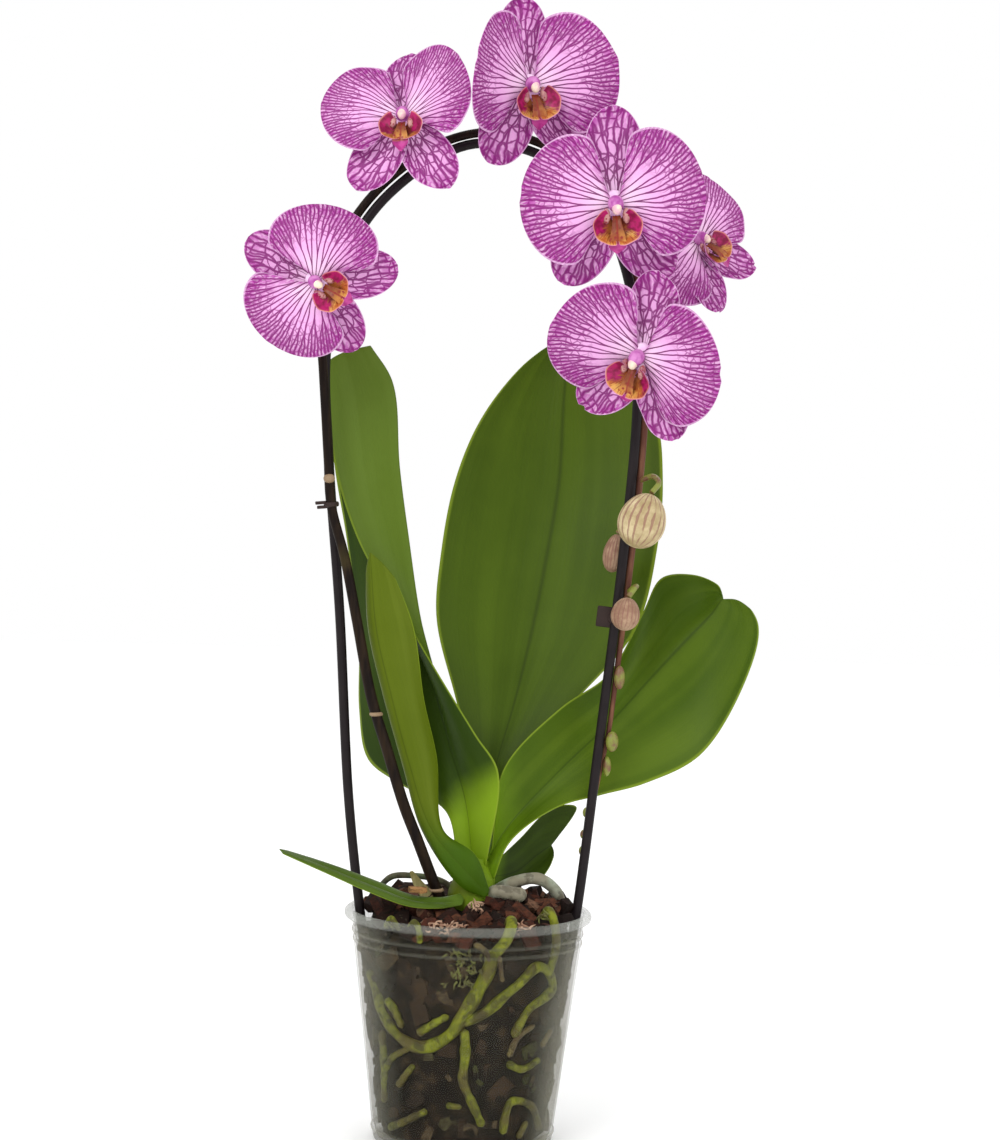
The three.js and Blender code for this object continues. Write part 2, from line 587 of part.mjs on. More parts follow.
function barkSolid() {
  const random = seededRandom(BARK.chipSeed);
  const { bottom, edgeTop, middleTop, chips, chipReach, chipSize, chipVary, chipTilt } = BARK;
  const edge = (z) => innerFlat(z) - CLEARANCE;
  const profile = [[0, bottom], [edge(bottom), bottom], [edge(edgeTop), edgeTop], [0, middleTop]];
  const parts = [lathe(profile, BARK.sides)];
  for (let i = 0; i < chips; i++) {
    const reach = chipReach * Math.sqrt((i + 0.5) / chips);
    const angle = i * BARK.chipAngle + random() * 0.6;
    const chip = new THREE.BoxGeometry(...chipSize.map((size, axis) => size + chipVary[axis] * random()));
    chip.rotateX((random() - 0.5) * chipTilt).rotateY((random() - 0.5) * chipTilt);
    chip.rotateZ(random() * Math.PI);
    const height = BARK.chipHeight + BARK.chipRise * random() + (chipReach - reach) * BARK.mound;
    chip.translate(reach * Math.cos(angle), reach * Math.sin(angle), height);
    parts.push(toSolid(chip));
  }
  return joined(parts);
}

function rootCurve(path, inset) {
  return new THREE.CatmullRomCurve3(path.points.map(([x, z]) => {
    const radius = innerFlat(z) - inset;
    return new THREE.Vector3(x, -Math.sqrt(Math.max(0, radius * radius - x * x)), z);
  }));
}

function rootSolid(grow = 0) {
  const parts = [ellipsoid(ROOTS.foot, ROOTS.footRadii, FACETS.rootFoot, grow)];
  for (const points of ROOTS.feeders) {
    parts.push(rod(curveOf(points), () => ROOTS.radius, 5, 8, grow));
  }
  for (const path of ROOTS.paths) {
    const radius = path.wide ? ROOTS.radius : ROOTS.fine;
    const curve = rootCurve(path, ROOTS.radius + CLEARANCE);
    parts.push(rod(curve, () => radius, 5, Math.round(curve.getLength() / ROOTS.stepLength), grow));
  }
  return joined(parts);
}

const crownCurve = curveOf(CROWN.path);
function crownRadius(along) {
  const row = along * (CROWN.radii.length - 1);
  const low = Math.min(Math.floor(row), CROWN.radii.length - 2);
  return lerp(CROWN.radii[low], CROWN.radii[low + 1], row - low);
}
const crownSolid = (grow = 0) => rod(crownCurve, crownRadius, 8, 12, grow);

const aerialSolid = ({ path, radius }, grow = 0) => rod(curveOf(path), () => radius, 6, 8, grow);

function bractSolid() {
  const curve = curveOf(BRACT.path);
  const surface = (u, v) => {
    const halfWidth = BRACT.halfWidth * (1 - BRACT.taper * v * v);
    const across = new THREE.Vector3(u * halfWidth, -BRACT.cup * u * u, BRACT.tilt * u * halfWidth);
    return curve.getPoint(v).add(across);
  };
  return blade(surface, 2, 4, BRACT.thickness);
}

// A bud is an egg whose top is its pedicel's end.
function budSolid({ at, across, along, sides, pedicel: pedicelPath }) {
  const geometry = new THREE.SphereGeometry(1, sides, sides - 2).rotateX(Math.PI / 2);
  geometry.scale(across, across, along);
  const top = vector(pedicelPath.at(-1)).sub(vector(at)).normalize();
  geometry.applyQuaternion(new THREE.Quaternion().setFromUnitVectors(new THREE.Vector3(0, 0, 1), top));
  geometry.translate(...at);
  return toSolid(geometry).subtract(thinRod(curveOf(pedicelPath), CLEARANCE));
}

// A ring round the arch and the stalk, with its tabs, set square to the arch.
function tieSolid({ share, ring, tabs }) {
  const tangent = hoopCurve.getTangentAt(share);
  const up = tangent.z > 0 ? tangent : tangent.clone().negate();
  const middle = hoopCurve.getPointAt(share).add(spikePoint(share)).multiplyScalar(0.5);
  const frame = new THREE.Matrix4().makeBasis(
    new THREE.Vector3(up.z, 0, -up.x), new THREE.Vector3(0, 1, 0), up).setPosition(middle);
  const [across, deep, high] = ring;
  const band = new THREE.CylinderGeometry(1, 1, 2, 8).rotateX(Math.PI / 2).scale(across, deep, high);
  const parts = [toSolid(band.applyMatrix4(frame))];
  for (const { at, half } of tabs) {
    const tab = new THREE.BoxGeometry(2 * half[0], 2 * half[1], 2 * half[2]).translate(...at);
    parts.push(toSolid(tab.applyMatrix4(frame)));
  }
  return joined(parts);
}

// ---------- assembly ----------
place("pot", potSolid(), COLORS.pot, 0.25);
const spikeGrown = stem(CLEARANCE);
const hoopGrown = hoop(CLEARANCE);
const crownGrown = crownSolid(CLEARANCE);
const rootsGrown = rootSolid(CLEARANCE);
const aerialGrown = Object.values(AERIAL_ROOTS).map((root) => aerialSolid(root, CLEARANCE));
const bark = without(barkSolid(), [hoopGrown, spikeGrown, crownGrown, rootsGrown, ...aerialGrown]);
place("substrate", largest(bark), COLORS.bark, 0.95);
place("roots", largest(without(rootSolid(), [crownGrown, spikeGrown])), COLORS.root, 0.7);
for (const [name, root] of Object.entries(AERIAL_ROOTS)) {
  const solid = without(aerialSolid(root), [crownGrown, spikeGrown, rootsGrown]);
  place(name, largest(solid), COLORS.silver, 0.6);
}
place("crown", without(crownSolid(), [spikeGrown]), COLORS.crown, 0.45);
for (const [name, leaf] of Object.entries(LEAVES)) {
  const solid = blade(leafSurface(leaf), leaf.across, leaf.along, leaf.thickness);
  place(name, largest(without(solid, [crownGrown])), leaf.color, 0.4);
}
const ringGrown = ring(SPIKE.rings[0], CLEARANCE);
place("bract", largest(without(bractSolid(), [spikeGrown, ringGrown, bark])), COLORS.crown, 0.5);
const chipBox = new THREE.BoxGeometry(...BARK_CHIP.size).applyQuaternion(
  new THREE.Quaternion().setFromEuler(new THREE.Euler(...BARK_CHIP.turn)));
place("bark_chip", toSolid(chipBox.translate(...BARK_CHIP.at)), COLORS.chip, 0.85);
place("flower_spike", stalkSolid(), COLORS.spike, 0.5);
place("support_hoop", hoop(), COLORS.hoop, 0.35);
for (const [name, bud] of Object.entries(BUDS)) {
  place(name, budSolid(bud), COLORS.bud, 0.6);
}
for (const [name, tie] of Object.entries(TIES)) {
  place(name, largest(without(tieSolid(tie), [hoopGrown, spikeGrown])), COLORS.tie, 0.4);
}
BLOOMS.forEach((bloom, i) => {
  const matrix = bloomMatrix(bloom);
  const face = place(`bloom_${i + 1}_tepals`, tepals(bloom, i + 1), COLORS.tepal, 0.55);
  const mouth = place(`bloom_${i + 1}_lip`, lip(), COLORS.lip, 0.45);
  for (const mesh of [face, mouth]) {
    matrix.decompose(mesh.position, mesh.quaternion, mesh.scale);
  }
});

export default orchid;
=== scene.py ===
import math
import random

import bpy
from mathutils import Matrix, Quaternion, Vector


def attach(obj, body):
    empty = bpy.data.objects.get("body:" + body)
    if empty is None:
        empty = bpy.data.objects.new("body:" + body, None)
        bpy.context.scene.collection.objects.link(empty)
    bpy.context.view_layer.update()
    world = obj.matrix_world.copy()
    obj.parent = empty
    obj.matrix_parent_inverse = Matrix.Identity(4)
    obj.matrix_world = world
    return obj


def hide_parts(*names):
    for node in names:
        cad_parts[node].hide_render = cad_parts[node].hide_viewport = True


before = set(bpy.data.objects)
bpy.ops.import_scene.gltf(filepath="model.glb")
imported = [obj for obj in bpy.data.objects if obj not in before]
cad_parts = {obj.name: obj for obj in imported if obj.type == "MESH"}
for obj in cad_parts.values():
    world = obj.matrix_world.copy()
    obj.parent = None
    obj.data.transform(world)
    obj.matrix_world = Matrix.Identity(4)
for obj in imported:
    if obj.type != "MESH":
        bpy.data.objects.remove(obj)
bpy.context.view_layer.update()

mm = 0.001  # shapes are worked out in millimetres


# Paths and small helpers

def mix(a, b, share):
    return a + (b - a) * share


def rise(x, low=0.0, high=1.0):  # 0 below low, 1 above high, soft between them
    t = min(1.0, max(0.0, (x - low) / (high - low)))
    return t * t * (3 - 2 * t)


class Path:  # a smooth curve through its points
    def __init__(self, points, divisions=200):
        self.points = [Vector(p) for p in points]
        self.marks = [0.0]
        last = self.at(0)
        for i in range(divisions):
            here = self.at((i + 1) / divisions)
            self.marks.append(self.marks[-1] + (here - last).length)
            last = here
        self.length = self.marks[-1]

    def at(self, t):
        points = self.points
        place = (len(points) - 1) * t
        low = min(int(place), len(points) - 2)
        share = place - low
        b, c = points[low], points[low + 1]
        a = points[low - 1] if low > 0 else b * 2 - c
        d = points[low + 2] if low + 2 < len(points) else c * 2 - b
        before, between, after = ((q - p).length ** 0.5 for p, q in ((a, b), (b, c), (c, d)))
        between = max(between, 1e-4)
        before = before if before > 1e-4 else between
        after = after if after > 1e-4 else between
        leave = ((b - a) / before - (c - a) / (before + between) + (c - b) / between) * between
        arrive = ((c - b) / between - (d - b) / (between + after) + (d - c) / after) * between
        return (b + leave * share + (c * 3 - b * 3 - leave * 2 - arrive) * share ** 2
                + (b * 2 - c * 2 + leave + arrive) * share ** 3)

    def along(self, share):  # share of the length instead of the share of the points
        target = min(1.0, max(0.0, share)) * self.length
        steps = len(self.marks) - 1
        low, high = 0, steps
        while high - low > 1:
            middle = (low + high) // 2
            if self.marks[middle] > target:
                high = middle
            else:
                low = middle
        gap = self.marks[high] - self.marks[low]
        return self.at((low + (target - self.marks[low]) / gap) / steps)

    def heading(self, share):
        return (self.along(min(1.0, share + 0.001)) - self.along(max(0.0, share - 0.001))).normalized()


def clearSelection():
    if bpy.context.mode != "OBJECT":
        bpy.ops.object.mode_set(mode="OBJECT")
    bpy.ops.object.select_all(action="DESELECT")


def pick(*pieces):
    clearSelection()
    for piece in pieces:
        piece.select_set(True)
    bpy.context.view_layer.objects.active = pieces[0]


def started(name):  # names the piece that was just added
    piece = bpy.context.object
    piece.name = name
    return piece


def applyAll(piece):
    pick(piece)
    for modifier in list(piece.modifiers):
        bpy.ops.object.modifier_apply(modifier=modifier.name)


def join(pieces, name):
    pick(*pieces)
    if len(pieces) > 1:
        bpy.ops.object.join()
    return started(name)


def smooth(piece, angle=60):
    pick(piece)
    bpy.ops.object.shade_smooth_by_angle(angle=math.radians(angle))


def editAll(piece):  # edit mode with everything selected
    pick(piece)
    bpy.ops.object.mode_set(mode="EDIT")
    bpy.ops.mesh.select_all(action="SELECT")


def outward(piece, merge=True):  # turns every face out, with its doubles merged first
    editAll(piece)
    if merge:
        bpy.ops.mesh.remove_doubles(threshold=1e-6)
    bpy.ops.mesh.normals_make_consistent(inside=False)
    bpy.ops.object.mode_set(mode="OBJECT")


def settle(piece, *nodes, slot):  # bakes its transform, hangs it on the root body and hides the parts it replaces
    pick(piece)
    bpy.ops.object.transform_apply(location=True, rotation=True, scale=True)
    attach(piece, "root")
    if nodes:
        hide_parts(*nodes)
    return piece


def dress(piece, *finishes):
    slots = piece.data.materials
    for i, finish in enumerate(finishes):
        if i < len(slots):
            slots[i] = finish
        else:
            slots.append(finish)


# Shapes

def sheet(name, surface, across, along, thick, thinAt, uv=None):
    # A thin blade from a grid. surface(u, v) gives its middle for u from -1 to 1 and v from 0 to 1.
    clearSelection()
    bpy.ops.mesh.primitive_grid_add(x_subdivisions=across, y_subdivisions=along, size=2)
    piece = started(name)
    places = [(p.co.x, (p.co.y + 1) / 2) for p in piece.data.vertices]
    shape = piece.data.uv_layers[0]
    shape.name = "shape"
    if uv:
        extra = piece.data.uv_layers.new(name="fan")
        for loop in piece.data.loops:
            extra.data[loop.index].uv = uv(*places[loop.vertex_index])
    body = piece.vertex_groups.new(name="body")
    for point, (u, v) in zip(piece.data.vertices, places):
        point.co = surface(u, v) * mm
        body.add([point.index], 1 - rise(max(abs(u), abs(2 * v - 1)), thinAt, 1.0), "REPLACE")
    for side in ("front", "back"):  # the wall's two faces keep their own slots
        piece.data.materials.append(None)
    wall = piece.modifiers.new("wall", "SOLIDIFY")
    wall.thickness = thick * mm
    wall.offset = 0
    wall.vertex_group = "body"
    wall.thickness_vertex_group = 0.35
    wall.material_offset = 1
    wall.material_offset_rim = 0
    soft = piece.modifiers.new("soft", "SUBSURF")
    soft.levels = soft.render_levels = 1
    applyAll(piece)
    smooth(piece, 70)
    return piece


def tube(name, path, steps, radiusAt, sides):
    # A round rod along a path in millimetres, with closed ends.
    clearSelection()
    bpy.ops.curve.primitive_nurbs_path_add()
    piece = started(name)
    curve = piece.data
    curve.splines.clear()
    spline = curve.splines.new("POLY")
    spline.points.add(steps)
    for i in range(steps + 1):
        spline.points[i].co = (*(path.along(i / steps) * mm), 1)
        spline.points[i].radius = radiusAt(i / steps) * mm
    curve.bevel_depth = 1
    curve.bevel_resolution = sides
    curve.use_fill_caps = True
    curve.use_path = False
    pick(piece)
    bpy.ops.object.convert(target="MESH")
    piece = bpy.context.object
    outward(piece)
    smooth(piece)
    return piece


def ball(name, at, radii, segments=24, rings=16):
    clearSelection()
    bpy.ops.mesh.primitive_uv_sphere_add(segments=segments, ring_count=rings, radius=1)
    piece = started(name)
    piece.data.uv_layers[0].name = "shape"
    for point in piece.data.vertices:
        point.co = Vector([a + p * r for a, p, r in zip(at, point.co, radii)]) * mm
    smooth(piece)
    return piece


def reshape(piece, change):  # moves every point by a rule in millimetres
    for point in piece.data.vertices:
        point.co = change(point.co / mm) * mm
    piece.data.update()


def latheRound(name, profile, segments=96):  # spins a profile of radius and height round Z
    clearSelection()
    bpy.ops.mesh.primitive_circle_add(vertices=len(profile), radius=1)
    piece = started(name)
    for point, (radius, height) in zip(piece.data.vertices, profile):
        point.co = (radius * mm, 0, height * mm)
    editAll(piece)
    bpy.ops.mesh.spin(steps=segments, angle=2 * math.pi, center=(0, 0, 0), axis=(0, 0, 1))
    bpy.ops.object.mode_set(mode="OBJECT")
    outward(piece)
    smooth(piece, 40)
    return piece


# Finishes

class Wire:  # a socket that does sums
    def __init__(self, finish, socket):
        self.finish = finish
        self.socket = socket

    def sum(self, what, other=0.0):
        return self.finish.node("Math", {"operation": what}, {0: self, 1: other})

    def __add__(self, other):
        return self.sum("ADD", other)

    def __sub__(self, other):
        return self.sum("SUBTRACT", other)

    def __mul__(self, other):
        return self.sum("MULTIPLY", other)

    def __truediv__(self, other):
        return self.sum("DIVIDE", other)

    def __rsub__(self, other):
        return self.finish.node("Math", {"operation": "SUBTRACT"}, {0: other, 1: self})

    def __rtruediv__(self, other):
        return self.finish.node("Math", {"operation": "DIVIDE"}, {0: other, 1: self})

    __radd__ = __add__
    __rmul__ = __mul__

    def rise(self, low, high):  # soft step from 0 at low to 1 at high
        settings = {"interpolation_type": "SMOOTHSTEP"}
        return self.finish.node("MapRange", settings, {0: self, 1: low, 2: high, 3: 0.0, 4: 1.0})


class Finish:
    def __init__(self, name, **fixed):
        self.material = bpy.data.materials.new(name)
        self.material.use_nodes = True
        self.tree = self.material.node_tree
        self.shader = self.tree.nodes["Principled BSDF"]
        for socket, value in fixed.items():
            self.shader.inputs[socket.replace("_", " ")].default_value = value

    def node(self, kind, settings, values, out=0):
        made = self.tree.nodes.new("ShaderNode" + kind)
        for key, value in settings.items():
            if key == "stops":
                self.setStops(made.color_ramp, value)
            else:
                setattr(made, key, value)
        for key, value in values.items():
            if isinstance(value, Wire):
                self.tree.links.new(value.socket, made.inputs[key])
            elif value is not None:
                made.inputs[key].default_value = value
        return Wire(self, made.outputs[out])

    def setStops(self, ramp, stops):
        for i, (place, colour) in enumerate(stops):
            stop = ramp.elements[i] if i < 2 else ramp.elements.new(place)
            stop.position = place
            stop.color = (*colour, 1)

    def place(self):
        return self.node("TexCoord", {}, {}, "Object")

    def axis(self, where, number):  # 0 is across, 1 is back and 2 is up
        return self.node("SeparateXYZ", {}, {0: where}, number)

    def fibres(self, squeeze, scale, detail=3.0, rough=0.5):  # noise drawn out along Z
        return self.noise(self.stretch(self.place(), (1, 1, squeeze)), scale, detail, rough)

    def uv(self, name):
        both = self.node("UVMap", {"uv_map": name}, {})
        return self.axis(both, 0), self.axis(both, 1)

    def pair(self, x, y):
        return self.node("CombineXYZ", {}, {0: x, 1: y})

    def stretch(self, where, scale):
        return self.node("Mapping", {}, {"Vector": where, "Scale": scale})

    def noise(self, where, scale, detail=3.0, rough=0.5):
        values = {"Vector": where, "Scale": scale, "Detail": detail, "Roughness": rough}
        return self.node("TexNoise", {}, values)

    def cells(self, where, scale, feature="F1"):
        return self.node("TexVoronoi", {"feature": feature}, {"Vector": where, "Scale": scale})

    def luck(self, number):  # the same draw for the same whole number
        return self.node("TexWhiteNoise", {"noise_dimensions": "1D"}, {"W": number})

    def ramp(self, value, stops):
        return self.node("ValToRGB", {"stops": stops}, {0: value})

    def blend(self, share, first, second):
        first = first if isinstance(first, Wire) else (*first, 1)
        second = second if isinstance(second, Wire) else (*second, 1)
        return self.node("Mix", {"data_type": "RGBA"}, {0: share, 6: first, 7: second}, 2)

    def feed(self, **values):
        for socket, value in values.items():
            self.tree.links.new(value.socket, self.shader.inputs[socket.replace("_", " ")])

    def bump(self, height, depth):
        values = {"Height": height, "Distance": depth * mm, "Strength": 1.0}
        self.feed(Normal=self.node("Bump", {}, values))


def twoTone(name, first, second, scale, detail, soft=None, depth=0.0, squeeze=1, **fixed):
    # The plainest finish: one noise mixes two tones, with a soft step if one is given.
    finish = Finish(name, **fixed)
    grain = finish.fibres(squeeze, scale, detail)
    finish.feed(Base_Color=finish.blend(grain.rise(*soft) if soft else grain, first, second))
    if depth:
        finish.bump(grain, depth)
    return finish.material


# Camera, floor and light

cameraSet = {"place": (10.8, -1500, 355), "aim": (10.8, 0, 276.8), "roll": 1.6, "lens": 98.4, "sensor": 36}


def addCamera():
    place, aim = Vector(cameraSet["place"]) * mm, Vector(cameraSet["aim"]) * mm
    turn = (aim - place).to_track_quat("-Z", "Y") @ Quaternion((0, 0, 1), math.radians(cameraSet["roll"]))
    bpy.ops.object.camera_add(location=place, rotation=turn.to_euler())
    camera = bpy.context.object
    camera.data.lens = cameraSet["lens"]
    camera.data.sensor_width = cameraSet["sensor"]
    bpy.context.scene.camera = camera


studio = {
    "floor": 6.0, "floorTone": (0.99, 0.99, 0.99), "air": 1.0,
    "lights": [
        {"place": (-0.9, -1.5, 1.5), "size": 1.3, "power": 16},
        {"place": (1.3, -1.2, 0.9), "size": 1.0, "power": 5},
        {"place": (0.2, 1.2, 1.5), "size": 1.2, "power": 5},
    ],
}


def addStudio():
    clearSelection()
    bpy.ops.mesh.primitive_plane_add(size=studio["floor"])
    floor = started("floor")
    dress(floor, Finish("floorPaper", Base_Color=(*studio["floorTone"], 1), Roughness=0.9).material)
    world = bpy.data.worlds.new("studioAir")
    world.use_nodes = True
    world.node_tree.nodes["Background"].inputs["Color"].default_value = (1, 1, 1, 1)
    world.node_tree.nodes["Background"].inputs["Strength"].default_value = studio["air"]
    bpy.context.scene.world = world
    for light in studio["lights"]:
        aim = Vector((0, 0, 0.3)) - Vector(light["place"])
        bpy.ops.object.light_add(type="AREA", location=light["place"],
                                 rotation=aim.to_track_quat("-Z", "Y").to_euler())
        lamp = bpy.context.object.data
        lamp.shape = "DISK"
        lamp.size = light["size"]
        lamp.energy = light["power"]
    bpy.context.scene.view_settings.view_transform = "Standard"


addCamera()
addStudio()
print("camera and studio ready")


# Pot

pot = {
    "height": 112, "topRadius": 56.9, "baseRadius": 43.4, "wall": 0.9, "floor": 1.4,
    "rimRadius": 59.9, "rimDrop": 4.5, "ribs": (5.5, 97.2, 101.5), "ribHeight": 0.6,
    "holes": 6, "holeRadius": 3, "holeCircle": 27, "segments": 128,
    "ribHalf": 0.9, "lipRound": 1.9,
}


def potOuter(height):
    return mix(pot["baseRadius"], pot["topRadius"], height / pot["height"])


def potPlastic():
    finish = Finish("clearPlastic", IOR=1.46, Specular_IOR_Level=0.55)
    where = finish.place()
    height = finish.axis(where, 2)
    haze = finish.fibres(0.35, 26, 4, 0.6)
    scratch = finish.fibres(0.06, 240, 2, 0.6).rise(0.62, 0.74)
    rim = height.rise(0.1065, 0.1085)
    across = finish.axis(where, 0).sum("ABSOLUTE")
    back = finish.axis(where, 1).rise(-0.02, 0.02)
    side = across / (height * 0.12 + 0.0434)  # share of the wall's radius at that height
    side = side.rise(0.58, 0.98)  # painted haze and reflection at the sides, where the wall is seen edge-on from the front
    # a quarter as much over the back half, broken up by the haze noise
    side = side.sum("MAXIMUM", back * 0.25) * (haze.rise(0.35, 0.65) * 0.4 + 0.6)
    alpha = haze.rise(0.35, 0.8) * 0.035 + scratch * 0.04 + rim * 0.12 + side * 0.36 + 0.03
    for z in pot["ribs"]:
        alpha = alpha + (1 - (height - z * mm).sum("ABSOLUTE").rise(0.0004, 0.0012)) * 0.176
    finish.feed(Alpha=alpha, Roughness=haze * 0.2 + 0.25)
    # the wall's colour is paler where the painted side haze lies
    wall = finish.blend(side, (0.09, 0.09, 0.06), (0.25, 0.24, 0.17))
    finish.feed(Base_Color=finish.blend(rim, wall, (0.34, 0.35, 0.31)))
    finish.bump(finish.noise(where, 60, 3), 0.25)
    return finish.material


def makePot():
    top, drop, rim, lip, wall = (pot[key] for key in ("height", "rimDrop", "rimRadius", "lipRound", "wall"))
    profile = [(0.0, 0), (potOuter(0) - 1.2, 0), (potOuter(0) - 0.3, 0.35), (potOuter(0), 1.2)]
    for z in pot["ribs"]:
        for i in range(7):
            turn = math.pi * i / 6
            out, up = pot["ribHeight"] * math.sin(turn), pot["ribHalf"] * math.cos(turn)
            profile.append((potOuter(z) + out, z - up))
    profile.append((potOuter(top - drop - 1.2), top - drop - 1.2))
    for i in range(9):  # the rolled lip
        turn = math.radians(-90 + 180 * i / 8)
        profile.append((rim - lip + lip * math.cos(turn), top - drop / 2 + (drop / 2) * math.sin(turn)))
    profile += [(potOuter(top) - 0.1, top), (potOuter(top) - wall, top - 0.8)]
    profile += [(potOuter(z) - wall, z) for z in (90, 60, 30, 8)]
    floor = pot["floor"]
    profile += [(potOuter(2) - wall - 1.2, floor + 0.3), (potOuter(0) - 4, floor), (0.0, floor)]
    piece = latheRound("clearPot", profile, pot["segments"])
    for i in range(pot["holes"]):
        turn = 2 * math.pi * i / pot["holes"]
        at = (pot["holeCircle"] * math.cos(turn) * mm, pot["holeCircle"] * math.sin(turn) * mm, 0)
        clearSelection()
        radius = pot["holeRadius"] * mm
        bpy.ops.mesh.primitive_cylinder_add(vertices=24, radius=radius, depth=8 * mm, location=at)
        drill = bpy.context.object
        cut = piece.modifiers.new("hole", "BOOLEAN")
        cut.object = drill
        cut.operation = "DIFFERENCE"
        applyAll(piece)
        bpy.data.objects.remove(drill)
    smooth(piece, 40)
    dress(piece, potPlastic())
    settle(piece, "pot", slot="pot")


makePot()
print("pot ready")


# Wire arch and flower stalk paths

arch = {
    "radius": 2.35,
    "path": [
        (-46.5, 0, 72), (-52.8, 0, 112), (-59.5, 0, 166), (-66, 0, 255), (-73, 0, 328), (-75.5, 0, 380),
        (-68, 0, 423), (-47, 0, 456), (-8, 0, 480.5), (32, 0, 472.5), (60, 0, 440), (73, 0, 396),
        (74.5, 0, 353), (69.5, 0, 280), (61, 0, 194), (52.8, 0, 114), (46.5, 0, 72)],
}
archPath = Path(arch["path"])

stalk = {
    "baseRadius": 2.8, "archRadius": 2.15, "rightRadius": 1.75, "tipRadius": 1.0,
    "free": [
        (-7, -5, 102), (-11, -8, 112), (-18, -13, 129), (-25, -17, 147), (-32, -18, 164), (-41, -17, 191),
        (-49, -15, 215), (-57, -11, 251), (-63.5, -8, 280)],
    "archFrom": 0.263, "archTo": 0.925, "archSteps": 28, "spacing": 5.2, "rightSpacing": 4.5,
    "toOutside": (0.32, 0.4), "toBack": (0.5, 0.62, 28), "toFarBack": (0.85, 0.9, 52),
    "rings": [(-15.5, -11, 122.5, 3.7), (-46.5, -15.7, 207, 3.3)], "archRing": 0.277,
    "ringHalf": 1.6, "collarRadii": (2.8, 2.8, 2.4), "nodeRadii": (2.7, 2.7, 2.7), "bulge": 0.9,
    "tinyBuds": [
        (0.826, (1.6, -2.6, 0), (2.6, 2.6, 5.8)), (0.861, (2.4, -2.6, 0), (3.1, 3.1, 5)),
        (0.875, (2.6, -1.2, 0), (2.1, 2.4, 4.8)), (0.901, (-2.4, 0, 0), (1.9, 1.9, 2.6)),
        (0.913, (-2.3, 0, 0), (1.9, 1.9, 2.4)), (0.922, (-2.1, 0, 0), (1.7, 1.7, 2.4))],
}


def besideArch(share, turn, spacing):  # turn 0 is outside the arch, 90 in front of it
    heading = archPath.heading(share)
    angle = math.radians(turn)
    outside = Vector((-heading.z, 0, heading.x))
    side = outside * math.cos(angle) * spacing
    return archPath.along(share) + side - Vector((0, math.sin(angle) * spacing, 0))


def stalkPoint(share, further=0.0):
    back = stalk["toBack"][2] * rise(share, *stalk["toBack"][:2])
    back += stalk["toFarBack"][2] * rise(share, *stalk["toFarBack"][:2])
    turn = 90 * (1 - rise(share, *stalk["toOutside"])) - back
    spacing = mix(stalk["spacing"], stalk["rightSpacing"], rise(share, 0.5, 0.7))
    return besideArch(share, turn, spacing + further)


def stalkRadius(along):
    radius = mix(stalk["baseRadius"], stalk["archRadius"], rise(along, 0, 0.4))
    radius = mix(radius, stalk["rightRadius"], rise(along, 0.5, 0.7))
    return mix(radius, stalk["tipRadius"], rise(along, 0.78, 1))


# Blooms

blooms = [  # each petal, left then right, has its turn, its sweep back and its share of full width
    {"at": (-78.5, -45, 411.3), "scale": 0.87, "yaw": -1, "pitch": -8, "roll": 64,
     "petals": [(172, 12, 1), (16, 23, 1)], "sepals": 7, "from": 0.372, "leave": (-3, -10, 2)},
    {"at": (-40, -36, 488.2), "scale": 0.9, "yaw": -7, "pitch": 25, "roll": 3,
     "petals": [(167, -3, 0.83), (32, -30, 0.82)], "sepals": 1, "from": 0.45, "leave": (-1, -9, 4)},
    {"at": (18.3, -27, 506.1), "scale": 0.96, "yaw": 19, "pitch": 4, "roll": 7,
     "petals": [(160, -32, 1), (11, -24, 1)], "sepals": -8, "from": 0.515, "leave": (2, -6, 6)},
    {"at": (58.9, -54, 450.7), "scale": 1.01, "yaw": 6, "pitch": -9, "roll": 4,
     "petals": [(173, 4, 1), (13, 9, 1)], "sepals": -2, "from": 0.565, "leave": (1, -10, 2)},
    {"at": (100.5, 8, 437.2), "scale": 0.85, "yaw": 38, "pitch": 23, "roll": 39,
     "petals": [(171, 22, 1), (24, -2, 1)], "sepals": -10, "from": 0.6, "leave": (7, 3, 3)},
    {"at": (74, -40, 381.3), "scale": 1.0, "yaw": -30, "pitch": -19, "roll": -20,
     "petals": [(166, -22, 1), (10, -2, 1)], "sepals": -10, "from": 0.65, "leave": (2, -9, 1)},
]
tepalKinds = {
    "sepal": {"length": 44, "halfWidth": 13.5, "claw": 4, "tip": 2, "skew": 1.15, "opening": 0.2,
              "lift": -1.6, "bow": -2.5, "sag": -5, "across": 14, "along": 22, "fan": 5},
    "petal": {"length": 43.5, "halfWidth": 30, "claw": 2.6, "tip": 4, "skew": 0.92, "opening": 0.34,
              "lift": 1.2, "bow": 5, "sag": 1, "across": 24, "along": 24, "fan": 3},
}
sepalTurns = (90, -125, -55)
tepal = {"thick": 0.6, "turnVary": 5, "wave": 0.9, "ruffle": 0.6}
pedicel = {"radius": 1.35, "behind": 13, "back": 3.2, "gap": 0.45}
bloomBalls = {  # place and radii
    "column": ((0, 0.2, 4.8), (3.6, 3.9, 5)), "cap": ((0, -1.7, 8.1), (2.2, 3.0, 2.3)),
    "heart": ((0, 0, -0.6), (6, 6, 3)),
}
lipShape = {
    "thick": 0.6, "foot": -5.1, "footLift": 3.2, "tip": -22.5, "midLift": 2.4, "midArch": 4.5, "midFold": 1.2,
    "midHalfWidth": 4.2, "midNeck": 0.46, "midPoint": 0.1, "barb": 0.82,
    "bowlMiddle": -9.6, "bowlLow": -88, "bowlHigh": 58, "bowlRadius": 8.8, "bowlWider": 2.7, "bowlDepth": 7,
    "earAt": (4.6, -5.2, 6.2), "earRadii": (1.8, 3.7, 1.8),
}


def seededDraws(seed):
    state = seed
    while True:
        state = (state * 1664525 + 1013904223) % 4294967296
        yield state / 4294967296


